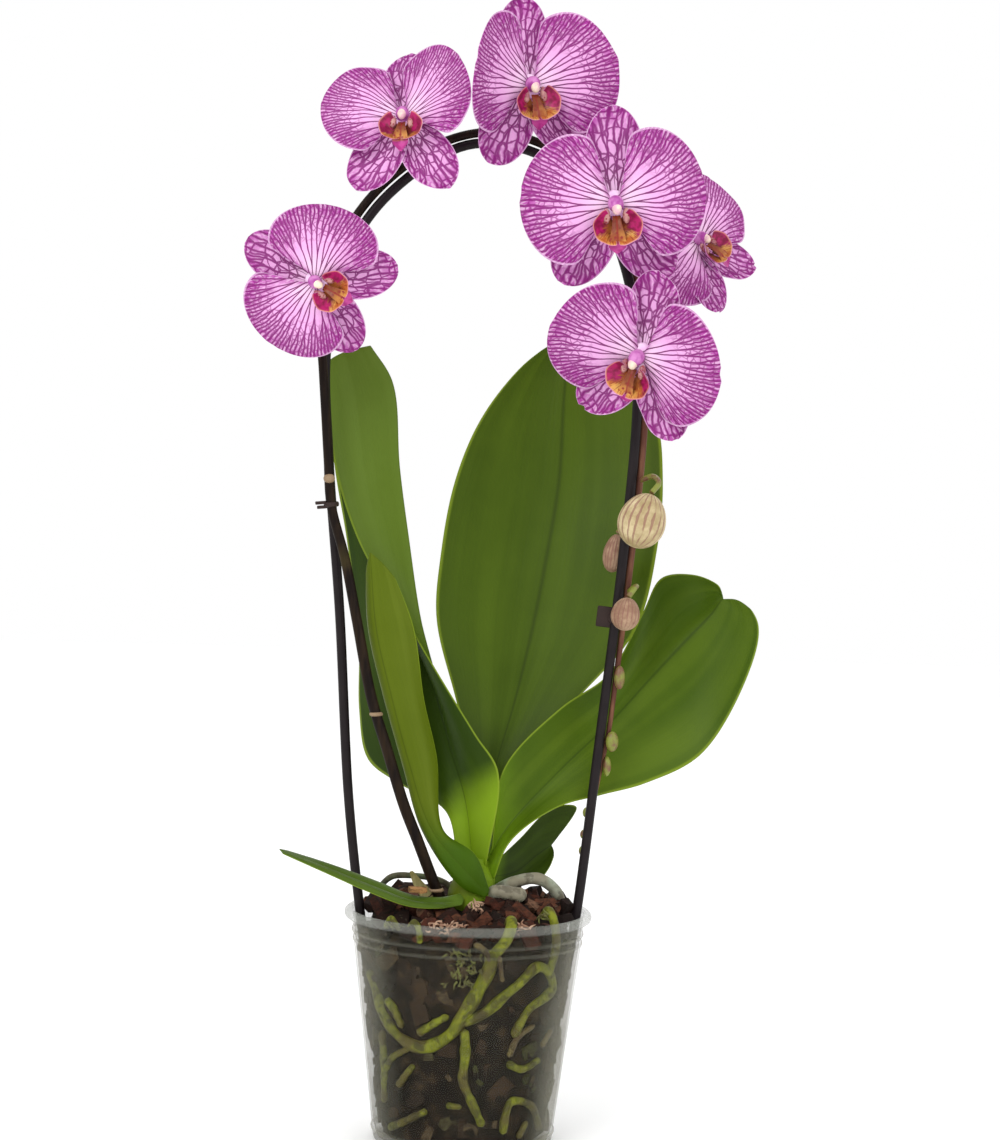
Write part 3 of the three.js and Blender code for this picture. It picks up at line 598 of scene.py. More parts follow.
def bloomFrame(bloom):
    yaw, pitch = math.radians(bloom["yaw"]), math.radians(bloom["pitch"])
    facing = Vector((math.sin(yaw) * math.cos(pitch), -math.cos(yaw) * math.cos(pitch), math.sin(pitch)))
    right = Vector((math.cos(yaw), math.sin(yaw), 0))
    basis = Matrix((right, facing.cross(right), facing)).transposed().to_4x4()
    turn = Matrix.Rotation(math.radians(bloom["roll"]), 4, "Z")
    return Matrix.Translation(bloom["at"]) @ basis @ turn @ Matrix.Scale(bloom["scale"], 4)


def tepalHalf(kind, v):
    s = 1 - (1 - v) ** 1.7
    round_ = math.sqrt(max(0.0, 1 - (2 * s ** kind["skew"] - 1) ** 2))
    full = kind["halfWidth"] * round_ * rise(s / kind["opening"] + 0.03)
    return s, max(full, mix(kind["claw"], kind["tip"], s))


def tepalSurface(kind, degrees, sweep, width, phase):
    angle = math.radians(degrees)
    side = Vector((-math.sin(angle), math.cos(angle), 0))
    axis = Vector((math.cos(angle), math.sin(angle), 0))

    def surface(u, v):
        s, half = tepalHalf(kind, v)
        lift = kind["lift"] + kind["bow"] * math.sin(math.pi * 0.9 * s) * (1 - 0.6 * u * u)
        lift += kind["sag"] * s * s
        lift += tepal["wave"] * math.sin(5.2 * s + 2.3 * u + phase) * s
        lift += tepal["ruffle"] * math.sin(11 * s + 4 * u * (1 - s) + phase * 2) * abs(u) ** 3
        lift -= 0.5 * math.exp(-(u * 7) ** 2) * (1 - s)
        back = math.radians(sweep) * s
        reach = kind["length"] * s
        flat = axis * reach * math.cos(back) + side * u * width * half
        return flat + Vector((0, 0, lift - reach * math.sin(back)))
    return surface


def fanMap(kind):  # turn round the claw, and distance from it
    def uv(u, v):
        s, half = tepalHalf(kind, v)
        x, y = u * half, kind["length"] * s + kind["fan"]
        return math.atan2(x, y) / math.pi + 0.5, math.hypot(x, y) / kind["length"]
    return uv


petalTones = {
    "middle": (0.92, 0.68, 0.87), "field": (0.78, 0.39, 0.71), "edge": (0.35, 0.020, 0.28),
    "veinIn": (0.13, 0.006, 0.085), "veinOut": (0.20, 0.005, 0.145), "rim": (0.78, 0.48, 0.74),
}


def tepalFinish(name, primaries, width, cells, netShare, netFrom):
    # Veins fan out from the claw. Each forks into a Y, and each branch forks again further out.
    finish = Finish(name, Roughness=0.55, Specular_IOR_Level=0.15)
    where = finish.place()
    turn, reach = finish.uv("fan")
    u, v = finish.uv("shape")
    wander = finish.noise(where, 75, 3, 0.55) - 0.5
    drift = finish.noise(where, 22, 2, 0.5) - 0.5
    x = (turn - 0.5) * primaries + (wander * 0.5 + drift) * reach.rise(0.05, 0.6)
    first = (x.sum("FRACT") - 0.5).sum("ABSOLUTE")
    start = finish.luck(x.sum("FLOOR")) * 0.34 + 0.16
    second = (first - (reach - start).rise(0.0, 0.30) * 0.25).sum("ABSOLUTE")
    start = finish.luck((x * 2).sum("FLOOR") + 57.3) * 0.25 + 0.50
    third = (second - (reach - start).rise(0.0, 0.25) * 0.125).sum("ABSOLUTE")
    thin = (0.022 / (reach + 0.06)) + width
    vein = 1 - (third - thin).rise(-0.02, 0.035)
    grid = finish.pair(x * cells[0] + drift * 2, reach * cells[1] + wander * 1.5)
    mesh = finish.cells(grid, 1.0, "DISTANCE_TO_EDGE")
    net = (1 - mesh.rise(0.03, 0.11)) * netShare * reach.rise(netFrom, netFrom + 0.2)
    speck = finish.noise(where, 520, 2, 0.6)
    margin = ((u - 0.5) * 2).sum("ABSOLUTE")
    outer = margin.sum("MAXIMUM", v * 1.06 - 0.06) + wander * 0.25 + drift * 0.45
    flush = outer.rise(0.26, 0.90)
    streak = finish.noise(finish.pair(x * 9, reach * 12), 1.0, 2).rise(0.44, 0.62)
    base = finish.blend(reach.rise(0.10, 0.55), petalTones["middle"], petalTones["field"])
    deep = finish.blend(streak * 0.48, petalTones["edge"], petalTones["middle"])
    base = finish.blend(flush * 0.9 * (speck * 0.4 + 0.78), base, deep)
    line = finish.blend(reach.rise(0.15, 0.7), petalTones["veinIn"], petalTones["veinOut"])
    tone = finish.blend(vein.sum("MAXIMUM", net) * 0.92, base, line)
    rim = margin.sum("MAXIMUM", v).rise(0.955, 0.985)
    finish.feed(Base_Color=finish.blend(rim * 0.6, tone, petalTones["rim"]))
    finish.bump(vein * -0.5 + speck * 0.4, 0.3)
    return finish.material


petalFinish = tepalFinish("petalSkin", 16, 0.030, (2.1, 12), 0.75, 0.5)
sepalFinish = tepalFinish("sepalSkin", 10, 0.018, (2.0, 8), 0.95, 0.15)


def lobeFinish(side):  # crimson above, orange along the lower rim, brown and mottled in the middle
    finish = Finish("lipLobe%d" % (side + 1), Roughness=0.35, Specular_IOR_Level=0.3)
    where = finish.place()
    u, v = finish.uv("shape")
    high = u if side > 0 else 1 - u
    wander = finish.noise(where, 170, 3) - 0.5
    finger = finish.noise(finish.pair(u * 16, v * 2.5), 1.0, 2) - 0.5
    fleck = finish.noise(where, 320, 2).rise(0.35, 0.65)
    red = finish.blend(fleck, (0.20, 0.002, 0.045), (0.42, 0.008, 0.12))
    gold = finish.blend(wander.rise(-0.12, 0.12), (0.66, 0.34, 0.08), (0.44, 0.11, 0.02))
    stripe = finish.noise(finish.pair(u * 46, v * 3), 1.0, 2)
    gold = finish.blend(stripe.rise(0.52, 0.60) * 0.8, gold, (0.24, 0.02, 0.012))
    brown = finish.blend(wander.rise(-0.08, 0.10), (0.15, 0.020, 0.010), (0.42, 0.13, 0.03))
    tone = finish.blend((v + finger * 0.6).rise(0.42, 0.60), brown, gold)
    upper = (high + finger * 0.35).rise(0.36, 0.50) * (v + finger * 0.8).rise(0.30, 0.52)
    tone = finish.blend(upper, tone, red)
    rim = v.rise(0.93, 0.98)
    finish.feed(Base_Color=finish.blend(rim * 0.7, tone, (0.70, 0.30, 0.20)))
    finish.bump(wander, 0.3)
    return finish.material


def midLobeFinish():
    finish = Finish("lipMiddle", Roughness=0.35, Specular_IOR_Level=0.35)
    where = finish.place()
    u, v = finish.uv("shape")
    wander = finish.noise(where, 240, 3)
    middle = ((u - 0.5) * 2).sum("ABSOLUTE")
    gold = finish.blend(wander.rise(0.4, 0.6), (0.58, 0.25, 0.05), (0.34, 0.08, 0.015))
    spot = finish.cells(where, 520.0)
    gold = finish.blend((1 - spot.rise(0.24, 0.42)) * 0.9, gold, (0.26, 0.012, 0.015))
    throat = finish.blend((1 - v.rise(0.25, 0.70)) * 0.9, gold, (0.16, 0.02, 0.006))
    line = 1 - middle.rise(0.08, 0.2)
    throat = finish.blend(line * 0.8, throat, (0.24, 0.012, 0.01))
    tip = finish.blend(wander.rise(0.4, 0.6), (0.34, 0.012, 0.17), (0.50, 0.05, 0.27))
    finish.feed(Base_Color=finish.blend((v + wander * 0.1).rise(0.74, 0.82), throat, tip))
    finish.bump(wander, 0.3)
    return finish.material


def callusFinish():
    finish = Finish("lipCallus", Roughness=0.3, Specular_IOR_Level=0.4)
    where = finish.place()
    base = finish.blend(finish.noise(where, 240, 2).rise(0.4, 0.6), (0.34, 0.10, 0.13), (0.52, 0.26, 0.24))
    spot = 1 - finish.cells(where, 700.0).rise(0.2, 0.4)
    finish.feed(Base_Color=finish.blend(spot, base, (0.24, 0.02, 0.02)))
    return finish.material


ballSkins = {
    "column": twoTone("columnSkin", (0.60, 0.22, 0.52), (0.36, 0.05, 0.30), 220, 2, (0.35, 0.65),
                      Roughness=0.4, Specular_IOR_Level=0.3),
    "cap": twoTone("columnCap", (0.86, 0.74, 0.56), (0.72, 0.42, 0.50), 260, 2, (0.4, 0.7),
                   Roughness=0.4, Specular_IOR_Level=0.3),
    "heart": twoTone("bloomHeart", (0.90, 0.66, 0.86), (0.80, 0.48, 0.76), 200, 2, (0.35, 0.65),
                     Roughness=0.5, Specular_IOR_Level=0.2),
}
callusSkin, midSkin = callusFinish(), midLobeFinish()
lobeSkins = {side: lobeFinish(side) for side in (-1, 1)}
lobeBack = twoTone("lipLobeBack", (0.62, 0.30, 0.52), (0.40, 0.05, 0.28), 130, 3, (0.35, 0.65),
                   Roughness=0.45, Specular_IOR_Level=0.3)


def midLobe(u, v):
    shape = lipShape
    widening = mix(shape["midNeck"], 1, rise(v, 0, shape["barb"]))
    narrowing = 1 - (1 - shape["midPoint"]) * ((v - shape["barb"]) / (1 - shape["barb"]))
    arrow = widening if v < shape["barb"] else narrowing
    lift = shape["midArch"] * math.sin(math.pi * 0.8 * v) + shape["midLift"] * (1 - v)
    forward = shape["footLift"] + lift + shape["midFold"] * u * u * arrow
    return Vector((u * shape["midHalfWidth"] * arrow, mix(shape["foot"], shape["tip"], v), forward))


def sideLobe(side):  # half of a shallow bowl, from its middle out to its rim
    shape = lipShape

    def surface(u, v):
        angle = math.radians(mix(shape["bowlLow"], shape["bowlHigh"], (u * side + 1) / 2))
        radius = shape["bowlRadius"] + shape["bowlWider"] * math.cos(angle) ** 2
        reach = mix(0.8, radius * (1 + 0.02 * math.sin(angle * 9)), v)
        lift = shape["footLift"] + 1 + shape["bowlDepth"] * v ** 1.8
        across = side * (reach * math.cos(angle) + 0.2)
        return Vector((across, shape["bowlMiddle"] + reach * math.sin(angle), lift))
    return surface


def makeBloom(number, bloom):
    placing = bloomFrame(bloom)
    draws = seededDraws(number)
    parts = []
    turned = [degrees + (next(draws) - 0.5) * tepal["turnVary"] for degrees in sepalTurns]
    placed = [("sepal", degrees, bloom["sepals"], 1) for degrees in turned]
    placed += [("petal", *petal) for petal in bloom["petals"]]
    for i, (name, degrees, sweep, width) in enumerate(placed):
        kind = tepalKinds[name]
        surface = tepalSurface(kind, degrees, sweep, width, number * 1.7 + i)
        part = sheet(name, surface, kind["across"], kind["along"], tepal["thick"], 0.8, uv=fanMap(kind))
        skin = petalFinish if name == "petal" else sepalFinish
        dress(part, skin, skin)
        parts.append(part)
    for name, (at, radii) in bloomBalls.items():
        parts.append(ball(name, at, radii))
        dress(parts[-1], ballSkins[name])
    face = join(parts, "bloom%dTepals" % number)
    lobes = []
    for side in (-1, 1):
        lobe = sheet("lobe", sideLobe(side), 18, 12, lipShape["thick"], 0.8)
        dress(lobe, lobeBack, lobeSkins[side])
        lobes.append(lobe)
    middle = sheet("middle", midLobe, 10, 18, lipShape["thick"], 0.8)
    dress(middle, midSkin, midSkin)
    lobes.append(middle)
    x, y, z = lipShape["earAt"]
    for side in (-1, 1):
        ear = ball("ear", (side * x, y, z), lipShape["earRadii"], 16, 12)
        dress(ear, callusSkin)
        lobes.append(ear)
    mouth = join(lobes, "bloom%dLip" % number)
    for piece in (face, mouth):
        reshape(piece, lambda point: placing @ point)
        outward(piece, merge=False)
    settle(face, "bloom_%d_tepals" % number, slot="tepal")
    settle(mouth, "bloom_%d_lip" % number, slot="lip")


for number, bloom in enumerate(blooms, 1):
    makeBloom(number, bloom)
print("blooms ready")


# Stalk, arch, ties and buds

budStripes = 19
buds = {
    "bud_1": {"at": (78, -16, 303), "across": 11.6, "along": 13.4,
              "stem": [(77.5, 1.5, 322), (83, -5, 324), (85.5, -11, 321), (82, -15, 316.4)]},
    "bud_2": {"at": (66, 9.5, 286), "across": 5.4, "along": 9.4,
              "stem": [(75.5, 2, 300), (71, 7, 301), (67.5, 9.3, 296)]},
    "bud_3": {"at": (71.5, -12, 258), "across": 7, "along": 8,
              "stem": [(73, 1.8, 268), (76.5, -4, 271), (75, -9.5, 269.5), (72.6, -11.6, 266.2)]},
}


def stalkFinish():
    finish = Finish("stalkSkin", Roughness=0.5, Specular_IOR_Level=0.1)
    where = finish.place()
    streak = finish.fibres(0.12, 320)
    patch = finish.noise(where, 22)
    side = finish.axis(where, 0)
    left = finish.blend(streak.rise(0.35, 0.7), (0.006, 0.003, 0.002), (0.020, 0.011, 0.005))
    right = finish.blend(streak.rise(0.35, 0.7), (0.10, 0.038, 0.026), (0.20, 0.09, 0.05))
    tone = finish.blend(side.rise(0.02, 0.06), left, right)
    finish.feed(Base_Color=finish.blend(patch.rise(0.62, 0.75) * 0.2, tone, (0.10, 0.08, 0.02)))
    finish.bump(streak, 0.2)
    return finish.material


def pedicelRadius(along):  # a little wider behind the bloom
    return pedicel["radius"] * (1 + 0.25 * rise(along, 0.8, 1))


def makeStalk():
    skin = stalkFinish()
    ring = twoTone("stalkRing", (0.14, 0.08, 0.04), (0.36, 0.25, 0.14), 260, 3, Roughness=0.6)
    fresh = twoTone("stalkFresh", (0.20, 0.23, 0.03), (0.16, 0.075, 0.035), 190, 3, (0.4, 0.62),
                    Roughness=0.45)
    green = []  # the young stems and the tiny buds
    points = list(stalk["free"])
    for i in range(stalk["archSteps"] + 1):
        points.append(stalkPoint(mix(stalk["archFrom"], stalk["archTo"], i / stalk["archSteps"])))
    path = Path(points, 400)
    parts = [tube("stem", path, 260, stalkRadius, 6)]
    for bloom in blooms:
        placing = bloomFrame(bloom)
        start = stalkPoint(bloom["from"])
        back = placing @ Vector((0, 0, -pedicel["back"] - pedicel["gap"] / bloom["scale"]))
        behind = placing @ Vector((0, 0, -pedicel["behind"]))
        twig = Path([start, start + Vector(bloom["leave"]), behind, back])
        parts.append(tube("pedicel", twig, 30, pedicelRadius, 4))
    for bud in buds.values():
        parts.append(tube("budStem", Path(bud["stem"]), 24, lambda t: pedicel["radius"], 4))
        green.append(parts[-1])
    for share, shift, radii in stalk["tinyBuds"]:
        parts.append(ball("tinyBud", stalkPoint(share) + Vector(shift), radii, 16, 12))
        green.append(parts[-1])
    for bloom in blooms:
        nodeAt = stalkPoint(bloom["from"], stalk["bulge"])
        parts.append(ball("node", nodeAt, stalk["nodeRadii"], 16, 12))
    for part in parts:
        dress(part, skin, ring)
    for part in green:
        dress(part, fresh, ring)
    bands = [ball("ring", (x, y, z), (radius, radius, stalk["ringHalf"]), 24, 12)
             for x, y, z, radius in stalk["rings"]]
    collarAt = stalkPoint(stalk["archRing"], stalk["bulge"])
    bands.append(ball("collar", collarAt, stalk["collarRadii"], 20, 12))
    for band in bands:
        dress(band, ring, ring)
    parts += bands
    settle(join(parts, "flowerStalk"), "flower_spike", slot="stalk")


def makeArch():
    piece = tube("wireArch", archPath, 240, lambda t: arch["radius"], 8)
    dress(piece, twoTone("wireCoat", (0.006, 0.004, 0.005), (0.017, 0.012, 0.013), 90, 2, depth=0.1,
                         Roughness=0.45, Specular_IOR_Level=0.15))
    settle(piece, "support_hoop", slot="wire")


def budFinish(name, first, second):
    finish = Finish(name, Roughness=0.55, Specular_IOR_Level=0.25)
    where = finish.place()
    turn, height = finish.uv("shape")
    wander = finish.noise(where, 140, 3) - 0.5
    wave = (turn * (2 * math.pi * budStripes) + wander * 4).sum("COSINE") * 0.5 + 0.5
    stripe = (wave + wander * 0.9).rise(0.74, 0.98)
    base = finish.blend(finish.noise(where, 110, 4, 0.65).rise(0.3, 0.7), first, second)
    stripe = stripe * height.rise(0.05, 0.25) * (1 - height.rise(0.9, 0.98))
    finish.feed(Base_Color=finish.blend(stripe * 0.7, base, (0.24, 0.10, 0.08)))
    finish.bump(stripe * -0.5 + wander, 0.3)
    return finish.material


def makeBuds():
    pale = budFinish("budSkin", (0.36, 0.27, 0.13), (0.62, 0.51, 0.30))
    ruddy = budFinish("budSkinRuddy", (0.24, 0.13, 0.08), (0.46, 0.31, 0.20))
    for node, bud in buds.items():
        middle, top = Vector(bud["at"]), Vector(bud["stem"][-1])
        turn = Vector((0, 0, 1)).rotation_difference((top - middle).normalized())
        piece = ball(node.replace("_", ""), (0, 0, 0), (1, 1, 1), 48, 32)

        def egg(point, bud=bud, middle=middle, turn=turn):
            z = point.z
            width = bud["across"] * (1 - 0.10 * z) * (1 - 0.05 * max(0.0, -z) ** 2)
            dip = math.exp(-(math.sin(1.5 * math.atan2(point.y, point.x)) * 4) ** 2)
            seam = 1 - 0.035 * dip * (1 - z * z)
            local = Vector((point.x * width * seam, point.y * width * seam, z * bud["along"]))
            return middle + turn @ local

        reshape(piece, egg)
        smooth(piece)
        dress(piece, pale if node == "bud_1" else ruddy)
        settle(piece, node, slot="bud")


makeStalk()
makeArch()
makeBuds()
print("stalk, arch and buds ready")


# Ties, bark, roots and crown

ties = {
    "clip_right": {"share": 0.795, "ring": (6.1, 4, 2.3), "tabs": [((-6.8, 0, 0.6), (4.4, 1.5, 5))]},
    "tie_left": {"share": 0.263, "ring": (3.7, 6.4, 1.3),
                 "tabs": [((-4.9, -3, 1.2), (2.6, 0.8, 0.8)), ((-4.5, -3, -0.9), (2.3, 0.8, 0.8))]},
}
bark = {
    "gap": 4.6, "bottom": 2, "edgeTop": 103.5, "middleTop": 110, "heap": 7,
    "wallChips": 560, "wallSizes": (0.35, 0.5, 0.7, 0.9, 1.2), "wallRoom": 2.6, "rootRoom": 3.2,
    "topChips": 270, "topSizes": (0.75, 1.4), "topReach": 47.5, "crownGap": 15,
}
chipHalf = (5, 3.4, 1.7)
wallRoots = [  # radius at the start and the end, whether it is dark, and points across and up the wall
    (3.7, 2.5, 0, [(12.7, 100.7), (10.4, 90.3), (5.1, 79.7), (-0.7, 69.1), (-5.6, 60.4), (-15.7, 53.2),
                   (-23.6, 52.2), (-31.5, 56.1), (-38.2, 64.1), (-43.0, 76), (-46.5, 83.5)]),
    (2.5, 2.1, 0, [(-1.2, 64.8), (10.5, 71.3), (18.4, 78.4), (26.5, 85.3), (33.5, 91.3), (39.6, 87),
                   (41.3, 79.4), (37.1, 75.2), (31, 72), (26.6, 65), (23.1, 57.9)]),
    (2.4, 2.0, 0, [(0.1, 62.7), (0.8, 50), (0.1, 37.3), (4.5, 26.7), (9.9, 14.8)]),
    (2.0, 1.6, 0, [(-39.2, 56.7), (-38, 39.6), (-37.5, 20.5)]),
    (1.8, 1.4, 0, [(-38, 36.3), (-33.5, 45.2), (-26.1, 50.7)]),
    (2.1, 1.6, 0, [(-37.7, 72.9), (-33.9, 69.1), (-29.3, 60.2)]),
    (2.1, 1.6, 0, [(-22.1, 58.4), (-16, 63.4), (-7.5, 68.8)]),
    (1.9, 1.4, 0, [(-31, 30.8), (-27.9, 36.4), (-23.4, 43.2)]),
    (1.9, 1.6, 0, [(-34.9, 8.8), (-27.4, 14.3), (-16.7, 21.5)]),
    (1.6, 1.3, 0, [(-7.8, 25.1), (-0.2, 24.5)]),
    (1.9, 1.5, 0, [(20.4, 45.7), (27.7, 41.9), (36.4, 45.4)]),
    (2.0, 1.7, 0, [(19.5, 10.6), (20.5, 19.5), (23, 26.1), (32.5, 22.9), (37.2, 9.1)]),
    (1.6, 1.4, 0, [(26.7, 7.4), (31, 15.6)]),
    (1.6, 1.2, 1, [(21.3, 48.4), (25.2, 57.7), (33.3, 63)]),
    (1.3, 1.0, 1, [(15.4, 98.2), (17.4, 85.4)]),
    (1.6, 1.2, 1, [(3.3, 104.2), (8.6, 100.8), (11.9, 94.5)]),
    (1.4, 1.2, 1, [(36.8, 51.4), (41.4, 58.8)]),
]
feeders = [
    (2.7, [(20, -33, 108), (20.5, -39, 113), (21, -44, 112), (18.5, -46.8, 105), (12.7, -48.7, 98)]),
    (2.1, [(36, -21, 112), (38.5, -26, 116.5), (41, -29, 112), (42.5, -30, 100), (39, -31.5, 87)]),
    (1.5, [(-28, -37, 106), (-25, -41, 111.5), (-22.5, -44, 108), (-22, -45, 102)]),
    (1.2, [(-39, -28, 107), (-36, -34, 112), (-32, -38, 107)]),
]
rootFoot = {"at": (1, 0, 92), "radii": (13, 12, 8)}
aerialRoots = {
    "aerial_root_1": {"radius": 3.5, "tone": "silver",
                      "path": [(6, -3, 117), (13, -7, 121.5), (20, -9, 121.5), (28, -10, 120.5)]},
    "aerial_root_2": {"radius": 2.9, "tone": "silver",
                      "path": [(8, 3, 117), (19, 3, 124), (33, 4, 127), (42, 7, 121), (46, 9, 110)]},
    "aerial_root_3": {"radius": 1.5, "tone": "dark",
                      "path": [(-4, 6, 118), (-14, 9, 124), (-27, 9, 126), (-38, 10, 125), (-44, 12, 118),
                               (-46, 12, 107)]},
}
crown = {
    "path": [(1, 0, 100), (1.5, 0, 112), (2, 0, 122), (3.5, 1, 131), (4.5, 2, 136)],
    "radii": (9, 12, 12, 10, 5), "ridges": 5,
}
bract = {
    "path": [(-13, -10, 116), (-19, -8, 119), (-24, -8, 124.5), (-28, -9, 131)],
    "halfWidth": 3.5, "thick": 1,
}
looseChip = {"at": (-24, -24, 124.2), "size": (9, 5, 2.6), "lean": 0.1, "turn": 0.2}
mossClumps = [  # middle, half sizes, count and which moss
    ((-10, -43, 109.5), (11, 3, 3), 46, 0), ((4, -24, 117), (4, 3, 3), 18, 0),
    ((-35, -36, 109), (5, 3, 2), 14, 1), ((38, -28, 113), (5, 4, 3), 16, 1),
    ((-1, -50.5, 92), (9, 1.2, 10), 60, 1), ((26, -40, 110), (6, 3, 2), 12, 0),
]
mossStrand = {"radius": 0.62, "reach": (2, 4.5), "bend": 1.2, "spread": 0.45}


def innerWall(height):
    return potOuter(height) - pot["wall"]


def block(name, at, half, bevel):
    clearSelection()
    bpy.ops.mesh.primitive_cube_add(size=2)
    piece = started(name)
    reshape(piece, lambda point: Vector([p * mm * h for p, h in zip(point, half)]) + Vector(at))
    editAll(piece)
    bpy.ops.mesh.bevel(offset=bevel * mm, segments=3)
    bpy.ops.object.mode_set(mode="OBJECT")
    smooth(piece, 40)
    return piece


def makeTies():
    skin = twoTone("tiePlastic", (0.020, 0.012, 0.011), (0.045, 0.028, 0.024), 150, 2, depth=0.1,
                   Roughness=0.5, Specular_IOR_Level=0.15)
    for node, tie in ties.items():
        heading = archPath.heading(tie["share"])
        up = heading if heading.z > 0 else -heading
        middle = (archPath.along(tie["share"]) + stalkPoint(tie["share"])) / 2
        basis = Matrix((Vector((up.z, 0, -up.x)), Vector((0, 1, 0)), up)).transposed().to_4x4()
        across, deep, high = tie["ring"]
        profile = []
        for i in range(12):
            turn = 2 * math.pi * i / 12
            profile.append((0.86 + 0.14 * math.cos(turn), high * (0.9 * math.sin(turn))))
        ring = latheRound("ring", profile, 40)
        reshape(ring, lambda point: Vector((point.x * across, point.y * deep, point.z)))
        parts = [ring] + [block("tab", at, half, min(half) * 0.45) for at, half in tie["tabs"]]
        for part in parts:
            dress(part, skin)
        piece = join(parts, node.replace("_", ""))
        reshape(piece, lambda point: middle + (basis @ point))
        settle(piece, node, slot="tie")


def barkFinish():
    finish = Finish("barkCore", Roughness=0.9, Specular_IOR_Level=0.15)
    where = finish.place()
    cell = finish.cells(where, 150.0)
    grain = finish.noise(where, 130, 4, 0.65)
    tone = finish.ramp(grain, [
        (0.3, (0.004, 0.003, 0.002)), (0.52, (0.016, 0.010, 0.006)), (0.72, (0.05, 0.034, 0.016))])
    # painted shade: near black in the hollows between the cells, where the bump sinks the surface
    finish.feed(Base_Color=finish.blend(cell.rise(0.35, 0.7) * 0.7, tone, (0.006, 0.004, 0.003)))
    finish.bump(cell * -1 + grain * 0.4, 0.5)
    return finish.material


def chipFinish(name, tones):  # each chip has its own shade in its UV map
    finish = Finish(name, Roughness=0.85, Specular_IOR_Level=0.2)
    shade, light = finish.uv("shade")
    grain = finish.fibres(2.2, 300, 4, 0.65)
    tone = finish.ramp(shade, tones)
    tone = finish.blend(grain.rise(0.35, 0.7) * 0.75, tone, (0.008, 0.005, 0.003))
    tone = finish.blend(grain.rise(0.60, 0.74) * light * 0.5, tone, (0.26, 0.20, 0.13))
    finish.feed(Base_Color=tone)
    finish.bump(grain, 0.6)
    return finish.material


def chipSeed(draws, cuts):  # one irregular lump, about 10 mm long, cut by a few planes
    clearSelection()
    bpy.ops.mesh.primitive_cube_add(size=2)
    piece = bpy.context.object
    reshape(piece, lambda point: Vector([p * mm * h for p, h in zip(point, chipHalf)]))
    bpy.ops.object.mode_set(mode="EDIT")
    for i in range(cuts):
        bpy.ops.mesh.select_all(action="SELECT")
        facing = Vector((draws.uniform(-1, 1), draws.uniform(-1, 1), draws.uniform(-0.5, 0.5))).normalized()
        reach = sum(h * abs(f) for h, f in zip(chipHalf, facing))
        middle = facing * reach * draws.uniform(0.55, 0.8) * mm
        bpy.ops.mesh.bisect(plane_co=middle, plane_no=facing, use_fill=True, clear_outer=True)
    bpy.ops.object.mode_set(mode="OBJECT")
    for point in piece.data.vertices:
        point.co += Vector([draws.uniform(-0.35, 0.35) for axis in range(3)]) * mm
    piece.data.uv_layers[0].name = "shade"
    smooth(piece, 20)
    return piece


def copyOf(seed, change, shade):  # shade is the tone's place and the light grain's share
    piece = seed.copy()
    piece.data = seed.data.copy()
    bpy.context.collection.objects.link(piece)
    piece.data.transform(change)
    for loop in piece.data.uv_layers["shade"].data:
        loop.uv = shade
    return piece


def turned(draws, tilt):
    spin = Matrix.Rotation(draws.uniform(0, 2 * math.pi), 4, "Z")
    forward = Matrix.Rotation(draws.uniform(-tilt, tilt), 4, "X")
    sideways = Matrix.Rotation(draws.uniform(-tilt, tilt), 4, "Y")
    return forward @ sideways @ spin


def moundHeight(radius):
    share = min(1.0, radius / 50)
    return mix(bark["middleTop"], bark["edgeTop"], share * share)


def wallPath(first, last, places):
    points = []
    for x, z in places:
        reach = innerWall(z) - max(first, last) - 0.3
        points.append((x, -math.sqrt(max(1, reach * reach - x * x)), z))
    return Path(points)


